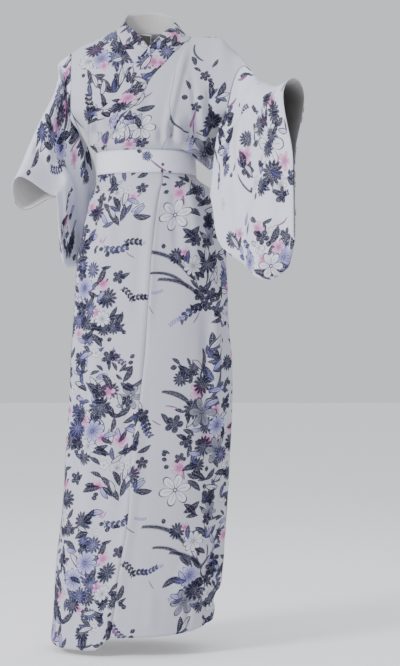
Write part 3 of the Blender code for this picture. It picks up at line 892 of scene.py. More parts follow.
layerCount = 6
inkStyles = (
    # name, inside colour, outside colour, line colour
    ("navy", (0.006, 0.006, 0.018), (0.010, 0.009, 0.026), (0.09, 0.09, 0.15)),
    ("indigo", (0.045, 0.042, 0.13), (0.014, 0.013, 0.045), (0.16, 0.16, 0.29)),
    ("outline", (0.60, 0.60, 0.70), (0.68, 0.68, 0.74), (0.012, 0.011, 0.030)),
    ("pink", (0.36, 0.10, 0.26), (0.80, 0.42, 0.66), (0.42, 0.14, 0.32)),
    ("lavender", (0.20, 0.19, 0.44), (0.46, 0.46, 0.70), (0.030, 0.028, 0.10)),
    ("grey", (0.16, 0.16, 0.22), (0.24, 0.24, 0.30), (0.020, 0.020, 0.040)),
    ("pinkLine", (0.62, 0.40, 0.58), (0.74, 0.56, 0.70), (0.22, 0.07, 0.20)),
    ("pale", (0.44, 0.44, 0.62), (0.54, 0.54, 0.72), (0.10, 0.10, 0.24)),
)
styleNumber = {row[0]: k for k, row in enumerate(inkStyles)}

# flower: petals, how far in the gaps reach. leaf: half width, bend. Lengths in cm.
motifKinds = {
    # name: (shape, size, first, second, cells, style)
    "lily": ("flower", 3.6, 6, 0.20, 1, "outline"),
    "darkLily": ("flower", 3.2, 6, 0.12, 1, "grey"),
    "aster": ("flower", 2.3, 13, 0.55, 1, "navy"),
    "blueAster": ("flower", 2.1, 12, 0.50, 1, "indigo"),
    "dahlia": ("flower", 2.5, 11, 0.50, 1, "lavender"),
    "outlineAster": ("flower", 2.3, 9, 0.42, 1, "outline"),
    "star": ("flower", 1.7, 5, 0.25, 1, "pink"),
    "darkStar": ("flower", 1.7, 5, 0.45, 1, "navy"),
    "blossom": ("flower", 1.2, 5, 0.55, 1, "outline"),
    "leaf": ("leaf", 4.1, 0.175, 0.07, 1, "navy"),
    "blueLeaf": ("leaf", 3.5, 0.180, -0.07, 1, "indigo"),
    "openLeaf": ("leaf", 4.1, 0.150, 0.06, 1, "outline"),
    "paleLeaf": ("leaf", 3.5, 0.17, -0.06, 1, "lavender"),
    "bud": ("leaf", 1.25, 0.40, 0.0, 1, "navy"),
    "sprig": ("leaf", 6.4, 0.40, 0.10, 5, "indigo"),
    "darkSprig": ("leaf", 5.0, 0.42, -0.10, 4, "navy"),
    "paleSprig": ("leaf", 5.4, 0.36, 0.08, 6, "lavender"),
    "blade": ("leaf", 6.8, 0.045, 0.10, 1, "grey"),
    "arc": ("leaf", 11.5, 0.0065, 0.13, 1, "grey"),
    "pinkStem": ("leaf", 4.0, 0.030, 0.04, 1, "pinkLine"),
}

# motifs of the fronts: kind, across and down in the photo's pixels, direction, size share
skirtPrint = """
darkStar 142 188 20 .8; leaf 137 178 30 .8; leaf 131 176 60 .7; blueLeaf 125 182 80 .9
blueLeaf 114 186 100 .9; leaf 106 182 130 .8; openLeaf 118 206 95 .9; openLeaf 123 206 80 1
outlineAster 117 193 0 .7; blossom 104 190 0 .9; pinkStem 130 202 40 .8; star 133 197 0 .6
leaf 111 214 130 .9; leaf 120 222 75 1; openLeaf 131 212 35 .8; leaf 102 203 150 .7
star 99 211 0 .8; bud 93 220 10 1; bud 97 224 160 1; leaf 119 226 130 1; paleLeaf 108 224 120 .9
openLeaf 114 219 110 .8; blueLeaf 126 215 60 .8; blossom 128 190 0 .8; leaf 100 190 140 .7
bud 94 242 80 1; bud 91 249 150 1; bud 99 250 20 1; blossom 96 257 0 .7; sprig 104 249 8 .9
bud 110 254 200 1; bud 114 250 330 1; darkSprig 124 244 5 .8; paleSprig 134 243 0 .5
pinkStem 126 252 -35 .6; pinkStem 102 244 60 .5; star 101 241 0 .4
blueAster 93 270 0 .9; blueAster 83 266 0 .8; leaf 101 268 10 .6; darkStar 119 277 0 .9
leaf 118 277 20 .7; star 103 284 0 .9; aster 107 298 0 1; dahlia 85 288 0 1.1; pinkStem 96 289 200 .8
darkSprig 122 288 -50 .7; darkSprig 131 300 10 .7; sprig 140 298 20 .6; paleSprig 151 293 14 .5
pinkStem 149 306 -60 .5; blueAster 91 310 0 .9; star 97 313 0 .7; outlineAster 102 319 0 .8
aster 104 329 0 .7; blueAster 80 321 0 1; bud 114 322 130 1; bud 118 329 -10 1; leaf 117 328 30 .5
bud 122 330 -50 1; star 79 334 0 .7; paleLeaf 82 300 80 1; dahlia 73 305 0 1; aster 72 330 0 .8
blueAster 90 340 0 .7; bud 103 341 150 1; bud 107 341 30 1; blossom 96 353 0 .9; bud 80 356 150 1
bud 82 361 200 1; sprig 112 349 -50 .7; pinkStem 112 352 -55 .7; bud 130 358 35 1; bud 128 363 10 1
blade 76 371 4 .6; leaf 100 371 200 .6; leaf 103 371 140 .5; leaf 109 371 95 .6; leaf 117 371 120 .6
leaf 119 372 50 .6; leaf 122 370 20 .6; leaf 116 374 -40 .5; openLeaf 104 380 200 .6
blossom 111 381 0 .8
openLeaf 113 384 -40 .5; blade 98 404 128 .9; blade 125 389 32 .9; star 108 391 0 1
darkLily 130 397 0 .9
aster 100 408 0 1.1; leaf 104 400 130 .7; leaf 108 412 -20 .8; blueAster 80 412 0 1; bud 77 400 60 1.1
leaf 116 417 40 1; openLeaf 122 410 60 1; leaf 123 423 30 .9; blueAster 78 428 0 1.2; star 85 421 0 .9
dahlia 92 431 0 1; star 121 440 0 1; openLeaf 104 432 120 1; paleLeaf 96 446 130 1; star 101 438 0 .8
bud 136 417 60 1; bud 140 421 0 1; leaf 132 437 45 .9; leaf 136 425 100 .7; openLeaf 111 445 100 .9
outlineAster 88 446 0 .9; aster 72 440 0 1; leaf 110 455 170 1; leaf 128 450 40 1; blueLeaf 84 458 160 1
leaf 170 179 160 .5; bud 167 185 170 1; bud 169 191 200 1; darkStar 180 184 0 .8; star 179 193 0 1
openLeaf 190 190 75 .9; openLeaf 196 192 55 .9; lily 175 215 15 1; leaf 205 205 150 1
leaf 205 205 50 .9
leaf 200 216 140 1; pinkStem 184 205 100 .9; leaf 183 238 35 1.1; leaf 199 231 -30 .6
darkStar 208 222 0 1.2
leaf 212 236 100 .8; blueLeaf 216 215 110 .9; leaf 213 243 150 .9; darkLily 209 236 0 .7
bud 164 249 100 1; aster 177 256 0 .8; star 185 252 0 .6; outlineAster 193 266 0 1; leaf 206 263 132 1
leaf 206 263 48 1; openLeaf 206 262 92 .9; blade 206 284 88 .5; openLeaf 209 282 60 1
leaf 199 281 120 .6
leaf 198 289 130 .7; leaf 200 292 45 .9; openLeaf 196 284 110 .8; arc 202 301 152 1; arc 188 288 158 .8
arc 186 271 158 1; darkStar 211 295 0 1; blueLeaf 206 300 30 .8; leaf 215 302 60 .7; sprig 203 306 215 1
darkSprig 206 302 200 .8; paleSprig 184 317 212 .7; pinkStem 193 323 60 .7; bud 214 311 100 1
bud 215 317 60 1; bud 225 326 90 1; bud 223 343 90 1; leaf 222 300 100 .8; blade 213 365 50 .7
leaf 180 365 140 .6; bud 177 367 190 1.2; leaf 190 366 110 .5; aster 194 368 0 .6
openLeaf 190 379 60 .5
blossom 196 379 0 .8; blade 200 376 84 .9; blade 211 398 66 1.1; star 198 391 0 1.2; leaf 209 394 70 .6
blade 191 405 155 1.1; pinkStem 177 408 170 .7; aster 193 409 0 1; leaf 184 413 160 .6
darkLily 202 412 0 1.1
leaf 198 402 70 .8; darkStar 213 404 0 1.1; star 216 410 0 .8; darkSprig 140 416 -60 .8
sprig 143 420 -60 .7
pinkStem 152 420 -30 .6; darkStar 174 424 0 1.2; leaf 168 425 120 .8; openLeaf 186 428 60 1
leaf 188 424 100 .7
leaf 194 436 150 .8; openLeaf 185 447 70 .8; star 207 440 0 1; aster 203 446 0 1; leaf 214 430 80 1
dahlia 217 425 0 1; darkLily 216 450 0 1; leaf 222 440 95 1; bud 166 456 140 1; leaf 206 425 120 .8
""".strip()
leftFrontPrint = """
arc 195 45 -62 .5; leaf 196 66 118 .7; darkStar 205 76 0 .7; leaf 201 72 150 .5; bud 208 79 -30 1
leaf 190 90 112 .6; bud 188 98 170 1.2; bud 197 98 10 1.2; darkStar 196 107 0 .7
pinkStem 196 110 -95 1.4
pinkStem 194 122 -90 1; leaf 199 131 10 .5; blade 196 132 -8 .4; arc 170 115 -42 .7; bud 213 87 120 1.2
leaf 212 68 60 .6; darkStar 216 119 0 .8; leaf 211 112 100 .6; bud 218 104 90 1.2; leaf 219 137 80 .6
darkLily 204 154 0 1.2; leaf 200 160 70 1; leaf 206 162 100 1; darkStar 207 147 0 1; leaf 190 146 70 .8
paleSprig 192 138 -80 .8; star 200 142 0 .6; aster 194 160 0 .6; bud 211 160 0 1; pinkStem 186 142 70 .6
sprig 215 128 90 .7; leaf 210 165 20 .7
""".strip()
rightChestPrint = """
star 96 50 0 1.2; outlineAster 88 62 0 1; dahlia 101 59 0 1; leaf 97 45 10 .8; leaf 110 47 60 .8
leaf 103 46 130 .7; blueAster 118 57 0 1.2; star 124 49 0 .8; blueAster 111 36 0 1; leaf 120 34 60 .9
paleLeaf 106 62 90 .9; openLeaf 84 70 70 .9; star 104 66 0 .7; blueLeaf 127 46 70 .8; leaf 136 60 58 1
leaf 141 73 30 1; leaf 138 82 24 1.1; openLeaf 133 76 70 1; leaf 117 73 100 .8; blueAster 127 66 0 1
leaf 106 75 205 1.2; leaf 90 82 100 .8; leaf 111 93 150 1; leaf 111 93 125 1; leaf 111 93 48 1.1
leaf 111 93 75 .9; openLeaf 119 86 80 1; darkStar 121 79 0 1; leaf 128 88 95 1; openLeaf 130 92 30 1
star 128 98 0 1.1; aster 119 108 0 1; leaf 111 113 40 1; openLeaf 101 96 80 .9; blueLeaf 92 97 100 1
darkSprig 92 110 80 .8; leaf 103 108 80 .8; paleLeaf 98 116 100 .9; openLeaf 106 118 70 .8
leaf 136 110 14 1.1
star 140 92 0 .7; pinkStem 139 100 30 .8; dahlia 134 124 0 1.1; lily 141 127 0 .9; leaf 122 125 60 1
leaf 99 121 170 .8; blueLeaf 106 144 95 1.3; leaf 116 143 30 .9; openLeaf 125 141 70 1
star 129 144 0 .9
leaf 122 151 25 1; paleLeaf 113 132 60 .9; outlineAster 117 130 0 1; bud 102 150 60 1.3
leaf 99 136 100 .5
blossom 134 148 0 1; blueAster 134 141 0 .8; bud 111 156 0 1; leaf 128 134 100 .9
openLeaf 134 106 60 .9
blade 92 120 30 .5; openLeaf 97 88 110 .9; bud 84 78 100 1
""".strip()
collarPrint = """
leaf 132 40 60 1; blueLeaf 129 34 70 1; openLeaf 127 28 60 1; paleLeaf 134 30 50 1; leaf 137 46 50 .9
star 139 37 0 .7; blueAster 131 24 0 .9; openLeaf 142 47 60 1; blossom 145 44 0 1; leaf 126 21 40 .8
star 175 36 0 1.1; leaf 178 44 5 .8; leaf 162 44 40 1; blueAster 167 52 0 1; leaf 158 50 130 .8
paleLeaf 151 54 60 1; star 154 62 0 1; blueAster 146 62 0 1; leaf 150 74 40 1; openLeaf 140 70 60 1
leaf 158 67 30 .9; star 161 63 0 .7; leaf 135 86 50 1; blueLeaf 143 80 40 1; openLeaf 130 92 60 1
leaf 146 85 25 1; darkStar 132 78 0 .8; star 128 99 0 1; aster 120 107 0 1; leaf 136 100 20 .9
openLeaf 138 93 50 .9; leaf 128 111 40 1; dahlia 120 122 0 1; paleLeaf 111 124 70 1; leaf 113 134 50 1
openLeaf 121 132 60 1; star 106 141 0 .8; leaf 103 148 60 1; blueAster 110 146 0 .8; leaf 118 147 30 .9
openLeaf 98 142 80 .9; leaf 168 40 150 .8; openLeaf 181 36 60 .8; darkStar 154 46 0 .7
""".strip()
leftSleevePrint = """
lily 269 144 0 1.35; aster 274 112 10 1.1; aster 259 126 0 1; aster 248 139 0 .8; star 271 99 0 1.2
star 246 155 0 1.1; star 285 161 0 1.2; star 264 120 0 .7; leaf 274 124 32 1.1; openLeaf 272 122 34 .9
leaf 287 134 100 .8; leaf 258 164 10 .8; darkStar 250 170 0 1.1; leaf 245 166 -20 1; aster 272 173 0 1.2
blossom 256 183 0 1.3; bud 256 192 -95 1.4; bud 260 191 10 1.2; bud 253 190 170 1.2
outlineAster 281 185 0 .9
paleSprig 284 178 -90 .6; darkSprig 280 200 30 .7; bud 275 194 100 1; arc 238 174 -52 .6
bud 288 172 0 1.2
blueAster 287 97 0 1; bud 286 107 0 1.2; leaf 281 92 70 .8; bud 258 84 60 .9; pinkStem 229 106 40 1
darkSprig 241 114 50 .6; bud 239 106 20 1; paleLeaf 247 226 85 .9; leaf 257 222 170 .9
leaf 262 223 20 .6
star 257 229 0 1; blueLeaf 247 236 80 .9; leaf 265 232 100 .5; blossom 274 232 0 1.2
pinkStem 276 226 25 .9
darkStar 286 237 0 1.2; star 279 247 0 .9; dahlia 284 257 0 1.1; leaf 268 256 70 .7
blossom 259 248 0 1.3
lily 271 266 0 .8; aster 273 268 0 .9; leaf 260 262 -20 1; leaf 246 256 -25 1.1; paleLeaf 238 244 -60 1
star 240 234 0 .8; aster 232 240 0 .8; blueLeaf 240 256 -40 .9; leaf 254 270 -15 1; dahlia 250 263 0 .9
leaf 280 272 40 .9; bud 268 247 80 1.1; leaf 291 250 90 .7; star 263 259 0 .8; openLeaf 252 242 -20 .8
blueAster 223 70 0 1.2; aster 226 82 0 1.1; leaf 219 60 80 1; leaf 214 44 70 .9; darkStar 215 36 0 1
openLeaf 227 58 30 1; paleLeaf 222 50 50 1; blueAster 234 74 0 1; leaf 240 76 20 .9; leaf 246 75 30 .9
pinkStem 238 80 20 1; outlineAster 236 62 0 1; leaf 216 74 100 1; darkSprig 225 92 -80 .8
leaf 220 96 60 .9
leaf 226 106 120 .9; leaf 226 106 60 .8; blueAster 223 113 0 .9; leaf 225 126 125 .9; leaf 227 126 55 .9
openLeaf 223 124 90 .9; leaf 225 138 125 .9; leaf 228 138 55 .9; blueLeaf 222 146 110 .8
paleLeaf 228 150 80 .8
dahlia 225 153 0 .8; star 224 162 0 .6; blueAster 226 170 0 .8; leaf 233 172 70 .6; bud 231 178 80 1
darkSprig 221 152 90 .8; leaf 220 176 100 .7; darkStar 219 181 0 .8; leaf 218 192 80 .6
blossom 223 204 0 1
leaf 218 164 100 .8; darkStar 221 132 0 .7
""".strip()
rightSleevePrint = """
leaf 69 60 70 .9; bud 71 52 40 1.2; star 67 74 0 .9; leaf 70 80 100 1; leaf 66 90 95 1.1
leaf 71 92 60 .8; paleLeaf 62 86 80 1; darkStar 63 103 0 1; blueAster 59 96 0 .9; leaf 72 104 -60 .9
star 66 109 0 1; star 57 125 0 1; blueLeaf 67 118 100 1; aster 60 116 0 .8; leaf 68 142 38 1.1
dahlia 60 146 0 1.2; blueAster 52 136 0 1; leaf 49 120 80 .9; openLeaf 56 134 60 1; leaf 44 142 100 1
star 74 158 0 1; pinkStem 70 152 60 1; leaf 76 148 50 .8; darkSprig 58 166 20 .8; bud 46 160 30 1.2
openLeaf 40 152 70 1; leaf 36 148 80 .8; blueAster 42 132 0 .8; leaf 82 140 80 1; darkStar 86 160 0 .9
leaf 92 170 100 .9; openLeaf 80 168 60 .9; aster 86 176 0 .8; bud 90 150 100 1.1; leaf 64 132 80 .8
sprig 50 168 10 .7; star 66 222 0 1; outlineAster 64 238 0 1; blueAster 70 246 0 1; leaf 72 258 40 .8
leaf 62 254 110 .7; paleLeaf 72 232 70 .9; darkSprig 66 212 80 .8; aster 62 228 0 .7; bud 76 262 10 1
leaf 31 168 60 .8; star 24 186 0 .8; bud 28 176 80 1
""".strip()
beltPrint = """
bud 143 146 60 1; bud 150 147 -80 1.1; bud 151 142 80 1.2; blossom 147 156 0 1; blueAster 147 156 0 .5
bud 142 152 160 1; pinkStem 151 160 -36 1; bud 161 165 20 .7; bud 162 169 -90 .7; bud 168 172 0 .7
""".strip()

# sprays that fill the print out: middle and half size in the photo's pixels, and how many fans
skirtSprays = (
    (118, 206, 20, 24, 7), (85, 262, 10, 26, 6), (86, 305, 16, 36, 13), (104, 320, 12, 16, 4),
    (96, 356, 22, 10, 4), (100, 386, 24, 22, 9), (94, 430, 26, 30, 15), (128, 408, 14, 26, 7),
    (116, 446, 18, 12, 4), (192, 192, 16, 12, 4), (207, 222, 14, 28, 9), (204, 268, 18, 28, 11),
    (212, 306, 12, 22, 6), (198, 388, 20, 26, 10), (204, 430, 20, 28, 13), (220, 380, 8, 40, 5),
)
rightChestSprays = ((118, 78, 28, 36, 17), (126, 132, 20, 18, 8), (100, 56, 16, 12, 5), (96, 106, 10, 22, 4))
collarSprays = ((134, 36, 8, 14, 5), (164, 50, 18, 8, 5), (142, 84, 14, 14, 5), (116, 124, 12, 14, 4))
leftFrontSprays = ((204, 150, 10, 14, 6), (214, 116, 5, 34, 4))
leftSleeveSprays = (
    (223, 112, 7, 58, 20), (228, 62, 14, 20, 8), (266, 128, 16, 30, 9), (258, 176, 16, 14, 4),
    (262, 252, 26, 18, 11), (284, 180, 6, 20, 3),
)
rightSleeveSprays = (
    (66, 106, 9, 44, 12), (56, 138, 16, 16, 6), (84, 154, 10, 24, 5), (66, 238, 9, 24, 6),
    (44, 150, 8, 14, 2),
)
sprayKinds = (
    "leaf", "blueLeaf", "openLeaf", "leaf", "darkStar",
    "leaf", "paleLeaf", "blueLeaf", "aster", "leaf",
)

repeatPixels = 275  # the print comes again after tileLength, seen in the photo's pixels
tileWidth = 0.33
tileLength = 0.62
tileStart = (66, 168)  # the skirt print's corner, in the photo's pixels
tileScale = (0.00215, 0.00226)  # metres of cloth for one pixel, across and down


def stampsOf(words):  # each stamp: kind, across, down, direction, size share
    stamps = []
    for word in words.replace("\n", ";").split(";"):
        part = word.split()
        if part:
            stamps.append((part[0],) + tuple(float(number) for number in part[1:]))
    return stamps


def withSprays(words, sprays):  # fans of three leaves, turned and sized by the golden section
    stamps = stampsOf(words)
    made = 0
    for x, y, wide, high, count in sprays:
        for k in range(count):
            turn = 2.399963 * (k + 1) + x
            reach = math.sqrt((k + 0.5) / count)
            px = x + wide * reach * math.cos(turn)
            py = y + high * reach * math.sin(turn)
            aim = 90 + 80 * math.sin(turn * 1.7 + y)
            for side in (-1, 0, 1):
                kind = sprayKinds[made % len(sprayKinds)]
                made += 1
                size = 0.72 + 0.34 * ((made * 0.618) % 1)
                stamps.append((kind, px + side * 1.2, py, aim + side * (34 + 10 * math.cos(turn)), size))
    return stamps


def tileStamps():  # the skirt's print in metres of flat cloth, for the hidden sides
    stamps = []
    for kind, x, y, turn, size in withSprays(skirtPrint, skirtSprays):
        across = (x - tileStart[0]) * tileScale[0]
        down = (y - tileStart[1]) * tileScale[1]
        stamps.append((kind, across, down, turn, size))
    return stamps


class Cells:  # finds the faces that lie round a spot

    def __init__(self, middles, size):
        self.size = size
        self.bins = {}
        for k, key in enumerate(map(tuple, np.floor(middles / size).astype(int).tolist())):
            self.bins.setdefault(key, []).append(k)

    def around(self, at, reach):
        low = [math.floor((c - reach) / self.size) for c in at]
        high = [math.floor((c + reach) / self.size) for c in at]
        found = []
        for a in range(low[0], high[0] + 1):
            for b in range(low[1], high[1] + 1):
                found += self.bins.get((a, b), [])
        return np.array(found, int)


class Print:  # gathers a mesh's motifs in layers, and writes them on its face corners

    def __init__(self, piece):
        self.mesh = piece.data
        count = len(self.mesh.polygons)
        flat = np.empty(count * 8)
        self.mesh.uv_layers["clothFlat"].data.foreach_get("uv", flat)
        self.flat = flat.reshape(count, 4, 2)
        corners = np.empty(count * 4, int)
        self.mesh.loops.foreach_get("vertex_index", corners)
        places = np.empty(len(self.mesh.vertices) * 3)
        self.mesh.vertices.foreach_get("co", places)
        self.places = places.reshape(-1, 3)[corners].reshape(count, 4, 3)
        self.middle = self.flat.mean(axis=1)
        self.pixels = inPhoto(self.places)
        self.sight = self.pixels.mean(axis=1)
        self.depth = self.places[..., 1].mean(axis=1)
        self.flatCells = Cells(self.middle, 0.02)
        self.sightCells = Cells(self.sight, 6.0)
        self.spot = np.full((layerCount, count, 4, 3), 0.0)
        self.spot[..., 0] = 9.0
        self.look = np.zeros((layerCount, count, 4, 3))
        self.taken = np.zeros((layerCount, count), bool)
        self.missed = 0

    def stamp(self, kind, at, turn, size, first=0):
        shape, length, one, two, cells, style = motifKinds[kind][0:6]
        length = length * size * 0.01
        cosine, sine = math.cos(turn), math.sin(turn)
        some = self.flatCells.around(at, length * 1.15 + 0.006)
        if not len(some):
            return
        away = (self.flat[some] - at) / length
        x = away[..., 0] * cosine + away[..., 1] * sine
        y = -away[..., 0] * sine + away[..., 1] * cosine
        slack = 0.0045 / length
        if shape == "flower":
            near = np.hypot(x.mean(axis=1), y.mean(axis=1)) < 1.05 + slack
        else:
            wide = (one if cells == 1 else 0.55 / cells + one / cells) + abs(two) + 0.04
            low, high = min(0, two), max(0, two)
            half = wide - abs(two)
            middle = y.mean(axis=1)
            near = (x.mean(axis=1) > -0.04 - slack) & (x.mean(axis=1) < 1.04 + slack)
            near &= (middle > low - half - slack) & (middle < high + half + slack)
        if not near.any():
            return
        hit = some[near]
        order = list(range(first, layerCount)) + list(range(first))
        for layer in order:
            if not self.taken[layer][hit].any():
                break
        else:
            self.missed += 1
            return
        self.taken[layer][hit] = True
        self.spot[layer][hit, :, 0] = x[near]
        self.spot[layer][hit, :, 1] = y[near]
        self.spot[layer][hit, :, 2] = 1.0 if shape == "flower" else 1.0 + cells
        self.look[layer][hit, :, 0] = one
        self.look[layer][hit, :, 1] = two
        self.look[layer][hit, :, 2] = (styleNumber[style] + 0.5) / len(inkStyles)

    def stampSeen(self, stamps, repeats=(0,), within=None):  # by the photo's pixels
        for kind, px, py, turn, size in stamps:
            for repeat in repeats:
                spot = np.array([px, py + repeat * repeatPixels])
                some = self.sightCells.around(spot, 3.2)
                if not len(some):
                    continue
                gap = np.linalg.norm(self.sight[some] - spot, axis=1)
                close = gap < 3.2
                if within is not None:
                    close &= within[some]
                if close.any():
                    face = some[np.argmin(np.where(close, self.depth[some] + gap * 0.004, 9))]
                    self.stampBySight(kind, face, spot, turn, size)

    def stampBySight(self, kind, face, spot, turn, size):
        corners, flat = self.pixels[face], self.flat[face]
        seen = np.stack([corners[1] - corners[0], corners[3] - corners[0]], axis=1)
        cloth = np.stack([flat[1] - flat[0], flat[3] - flat[0]], axis=1)
        if abs(np.linalg.det(seen)) < 1e-6:
            return
        toCloth = cloth @ np.linalg.inv(seen)
        at = flat.mean(axis=0) + toCloth @ (spot - corners.mean(axis=0))
        angle = math.radians(turn)
        aim = toCloth @ np.array([math.cos(angle), -math.sin(angle)])
        first = 2 if motifKinds[kind][0] == "flower" else 0
        self.stamp(kind, at, math.atan2(aim[1], aim[0]), size, first)

    def stampTile(self, shiftU, shiftV, within):
        for kind, u, v, turn, size in tileStamps():
            for across in (-1, 0, 1, 2, 3):
                for down in range(-5, 6):
                    at = np.array([u + shiftU + across * tileWidth, v + shiftV + down * tileLength])
                    some = self.flatCells.around(at, 0.006)
                    if not len(some) or not within[some].any():
                        continue
                    first = 2 if motifKinds[kind][0] == "flower" else 0
                    self.stamp(kind, at, -math.radians(turn), size, first)

    def write(self):
        for layer in range(layerCount):
            for name, values in (("spot", self.spot), ("look", self.look)):
                data = self.mesh.attributes.new(f"{name}{layer}", "FLOAT_VECTOR", "CORNER")
                data.data.foreach_set("vector", values[layer].astype(np.float32).ravel())
        print(self.mesh.name, "motif layers", [int(row.sum()) for row in self.taken], "missed", self.missed)


# cloth materials: shader maths as expressions on wrapped sockets

class Wire:

    def __init__(self, maker, socket):
        self.maker = maker
        self.socket = socket

    def math(self, operation, *others):
        inputs = {0: self}
        for k, other in enumerate(others):
            inputs[k + 1] = other
        return self.maker.node("ShaderNodeMath", {"operation": operation}, inputs).out("Value")

    def __add__(self, other):
        return self.math("ADD", other)

    def __radd__(self, other):
        return self.math("ADD", other)

    def __sub__(self, other):
        return self.math("SUBTRACT", other)

    def __rsub__(self, other):
        return self.maker.value("SUBTRACT", other, self)

    def __mul__(self, other):
        return self.math("MULTIPLY", other)

    def __rmul__(self, other):
        return self.math("MULTIPLY", other)

    def __truediv__(self, other):
        return self.math("DIVIDE", other)

    def __rtruediv__(self, other):
        return self.maker.value("DIVIDE", other, self)

    def __pow__(self, other):
        return self.math("POWER", other)

    def __lt__(self, other):
        return self.math("LESS_THAN", other)

    def __gt__(self, other):
        return self.math("GREATER_THAN", other)

    def clamped(self, gain, shift=0.5):  # a soft step, 0 to 1, at zero
        scaled = self.maker.node(
            "ShaderNodeMath", {"operation": "MULTIPLY_ADD", "use_clamp": True},
            {0: self, 1: gain, 2: shift},
        )
        return scaled.out("Value")


class Made:

    def __init__(self, maker, node):
        self.maker = maker
        self.node = node

    def out(self, name):
        return Wire(self.maker, self.node.outputs[name])


class Maker:

    def __init__(self, name):
        self.material = bpy.data.materials.new(name)
        self.material.use_nodes = True
        self.tree = self.material.node_tree
        self.shader = self.tree.nodes["Principled BSDF"]

    def node(self, kind, settings=None, inputs=None):
        node = self.tree.nodes.new(kind)
        for name, setting in (settings or {}).items():
            if name == "stops":
                ramp = node.color_ramp
                ramp.interpolation = "CONSTANT"
                while len(ramp.elements) < len(setting):
                    ramp.elements.new(0.5)
                for element, (at, colour) in zip(ramp.elements, setting):
                    element.position = at
                    element.color = (*colour, 1)
            else:
                setattr(node, name, setting)
        for name, given in (inputs or {}).items():
            if isinstance(given, Wire):
                self.tree.links.new(given.socket, node.inputs[name])
            else:
                node.inputs[name].default_value = given
        return Made(self, node)

    def value(self, operation, first, second):
        made = self.node("ShaderNodeMath", {"operation": operation}, {0: first, 1: second})
        return made.out("Value")

    def split(self, wire):
        parts = self.node("ShaderNodeSeparateXYZ", None, {"Vector": wire})
        return parts.out("X"), parts.out("Y"), parts.out("Z")

    def blend(self, factor, first, second, kind="MIX"):
        mixed = self.node(
            "ShaderNodeMix", {"data_type": "RGBA", "blend_type": kind},
            {0: factor, 6: first, 7: second},
        )
        return Wire(self, mixed.node.outputs[2])

    def join(self, name, wire):
        self.tree.links.new(wire.socket, self.shader.inputs[name])


def fract(wire):
    return wire.math("FRACT")


def near(wire, middle, half):  # 1 at the middle, 0 past the half width
    return (half - (wire - middle).math("ABSOLUTE")).clamped(1.6 / half, 0.0)


def motifMasks(maker, layer):  # one layer's filled shape, its drawn lines and its shading
    spot = maker.node("ShaderNodeAttribute", {"attribute_name": f"spot{layer}"}).out("Vector")
    look = maker.node("ShaderNodeAttribute", {"attribute_name": f"look{layer}"}).out("Vector")
    x, y, kind = maker.split(spot)
    one, two, style = maker.split(look)
    isFlower = (kind > 0.5) * (kind < 1.5)
    isLeaf = kind > 1.5

    away = (x * x + y * y).math("SQRT")
    turn = y.math("ARCTAN2", x) * (1 / (2 * math.pi))
    phase = fract(turn * one + 0.5) - 0.5
    lobe = (phase * math.pi).math("COSINE")
    edge = two + (1 - two) * lobe.math("POWER", 0.62)
    petal = (edge - away).clamped(26, 0.5)
    rim = near(away, edge, 0.075)
    arm = away * (2 * math.pi) / one
    gap = near((0.5 - phase.math("ABSOLUTE")) * arm, 0.0, 0.034) * (away < edge) * (away > 0.10)
    rib = near(phase * arm, 0.0, 0.020) * (away > 0.22) * (away < edge * 0.74) * (one < 12)
    eye = near(away, 0.11, 0.05)
    petalLines = rim.math("MAXIMUM", gap).math("MAXIMUM", rib * 0.8).math("MAXIMUM", eye)

    cells = kind - 1
    many = cells > 1.5
    inside = (x > 0) * (x < 1)
    bow = two * 4 * x * (1 - x)
    off = (y - bow).math("ABSOLUTE")
    lean = x - many * off * 0.55
    place = fract(lean * cells)
    side = (off - many * (0.42 / cells)).math("ABSOLUTE") * (1 + many * (cells - 1))
    full = (place * (1 - place) * 4).math("MAXIMUM", 0.0).math("POWER", 0.85) * one
    blade = (full - side).clamped(60, 0.5) * inside
    outline = near(side, full, 0.050) * inside * (style > 0.25)
    midrib = near(side, 0.0, 0.016) * (1 - many) * (place < 0.9)
    veins = near(fract((place - side * 1.6) * 8), 0.5, 0.16) * (side < full * 0.86) * (1 - many) * 0.22
    stem = near(off, 0.0, 0.022) * many * inside
    leafLines = outline.math("MAXIMUM", midrib * inside).math("MAXIMUM", veins * inside)

    filled = petal * isFlower + blade.math("MAXIMUM", stem) * isLeaf
    drawn = petalLines * isFlower * (petal.math("MAXIMUM", rim)) + leafLines * isLeaf
    shade = away * isFlower + place * isLeaf
    return filled, drawn, shade, style


hemValues = {"turned": 0.018, "stitch": 0.0062}  # depth of the hem, and length of one stitch, in metres


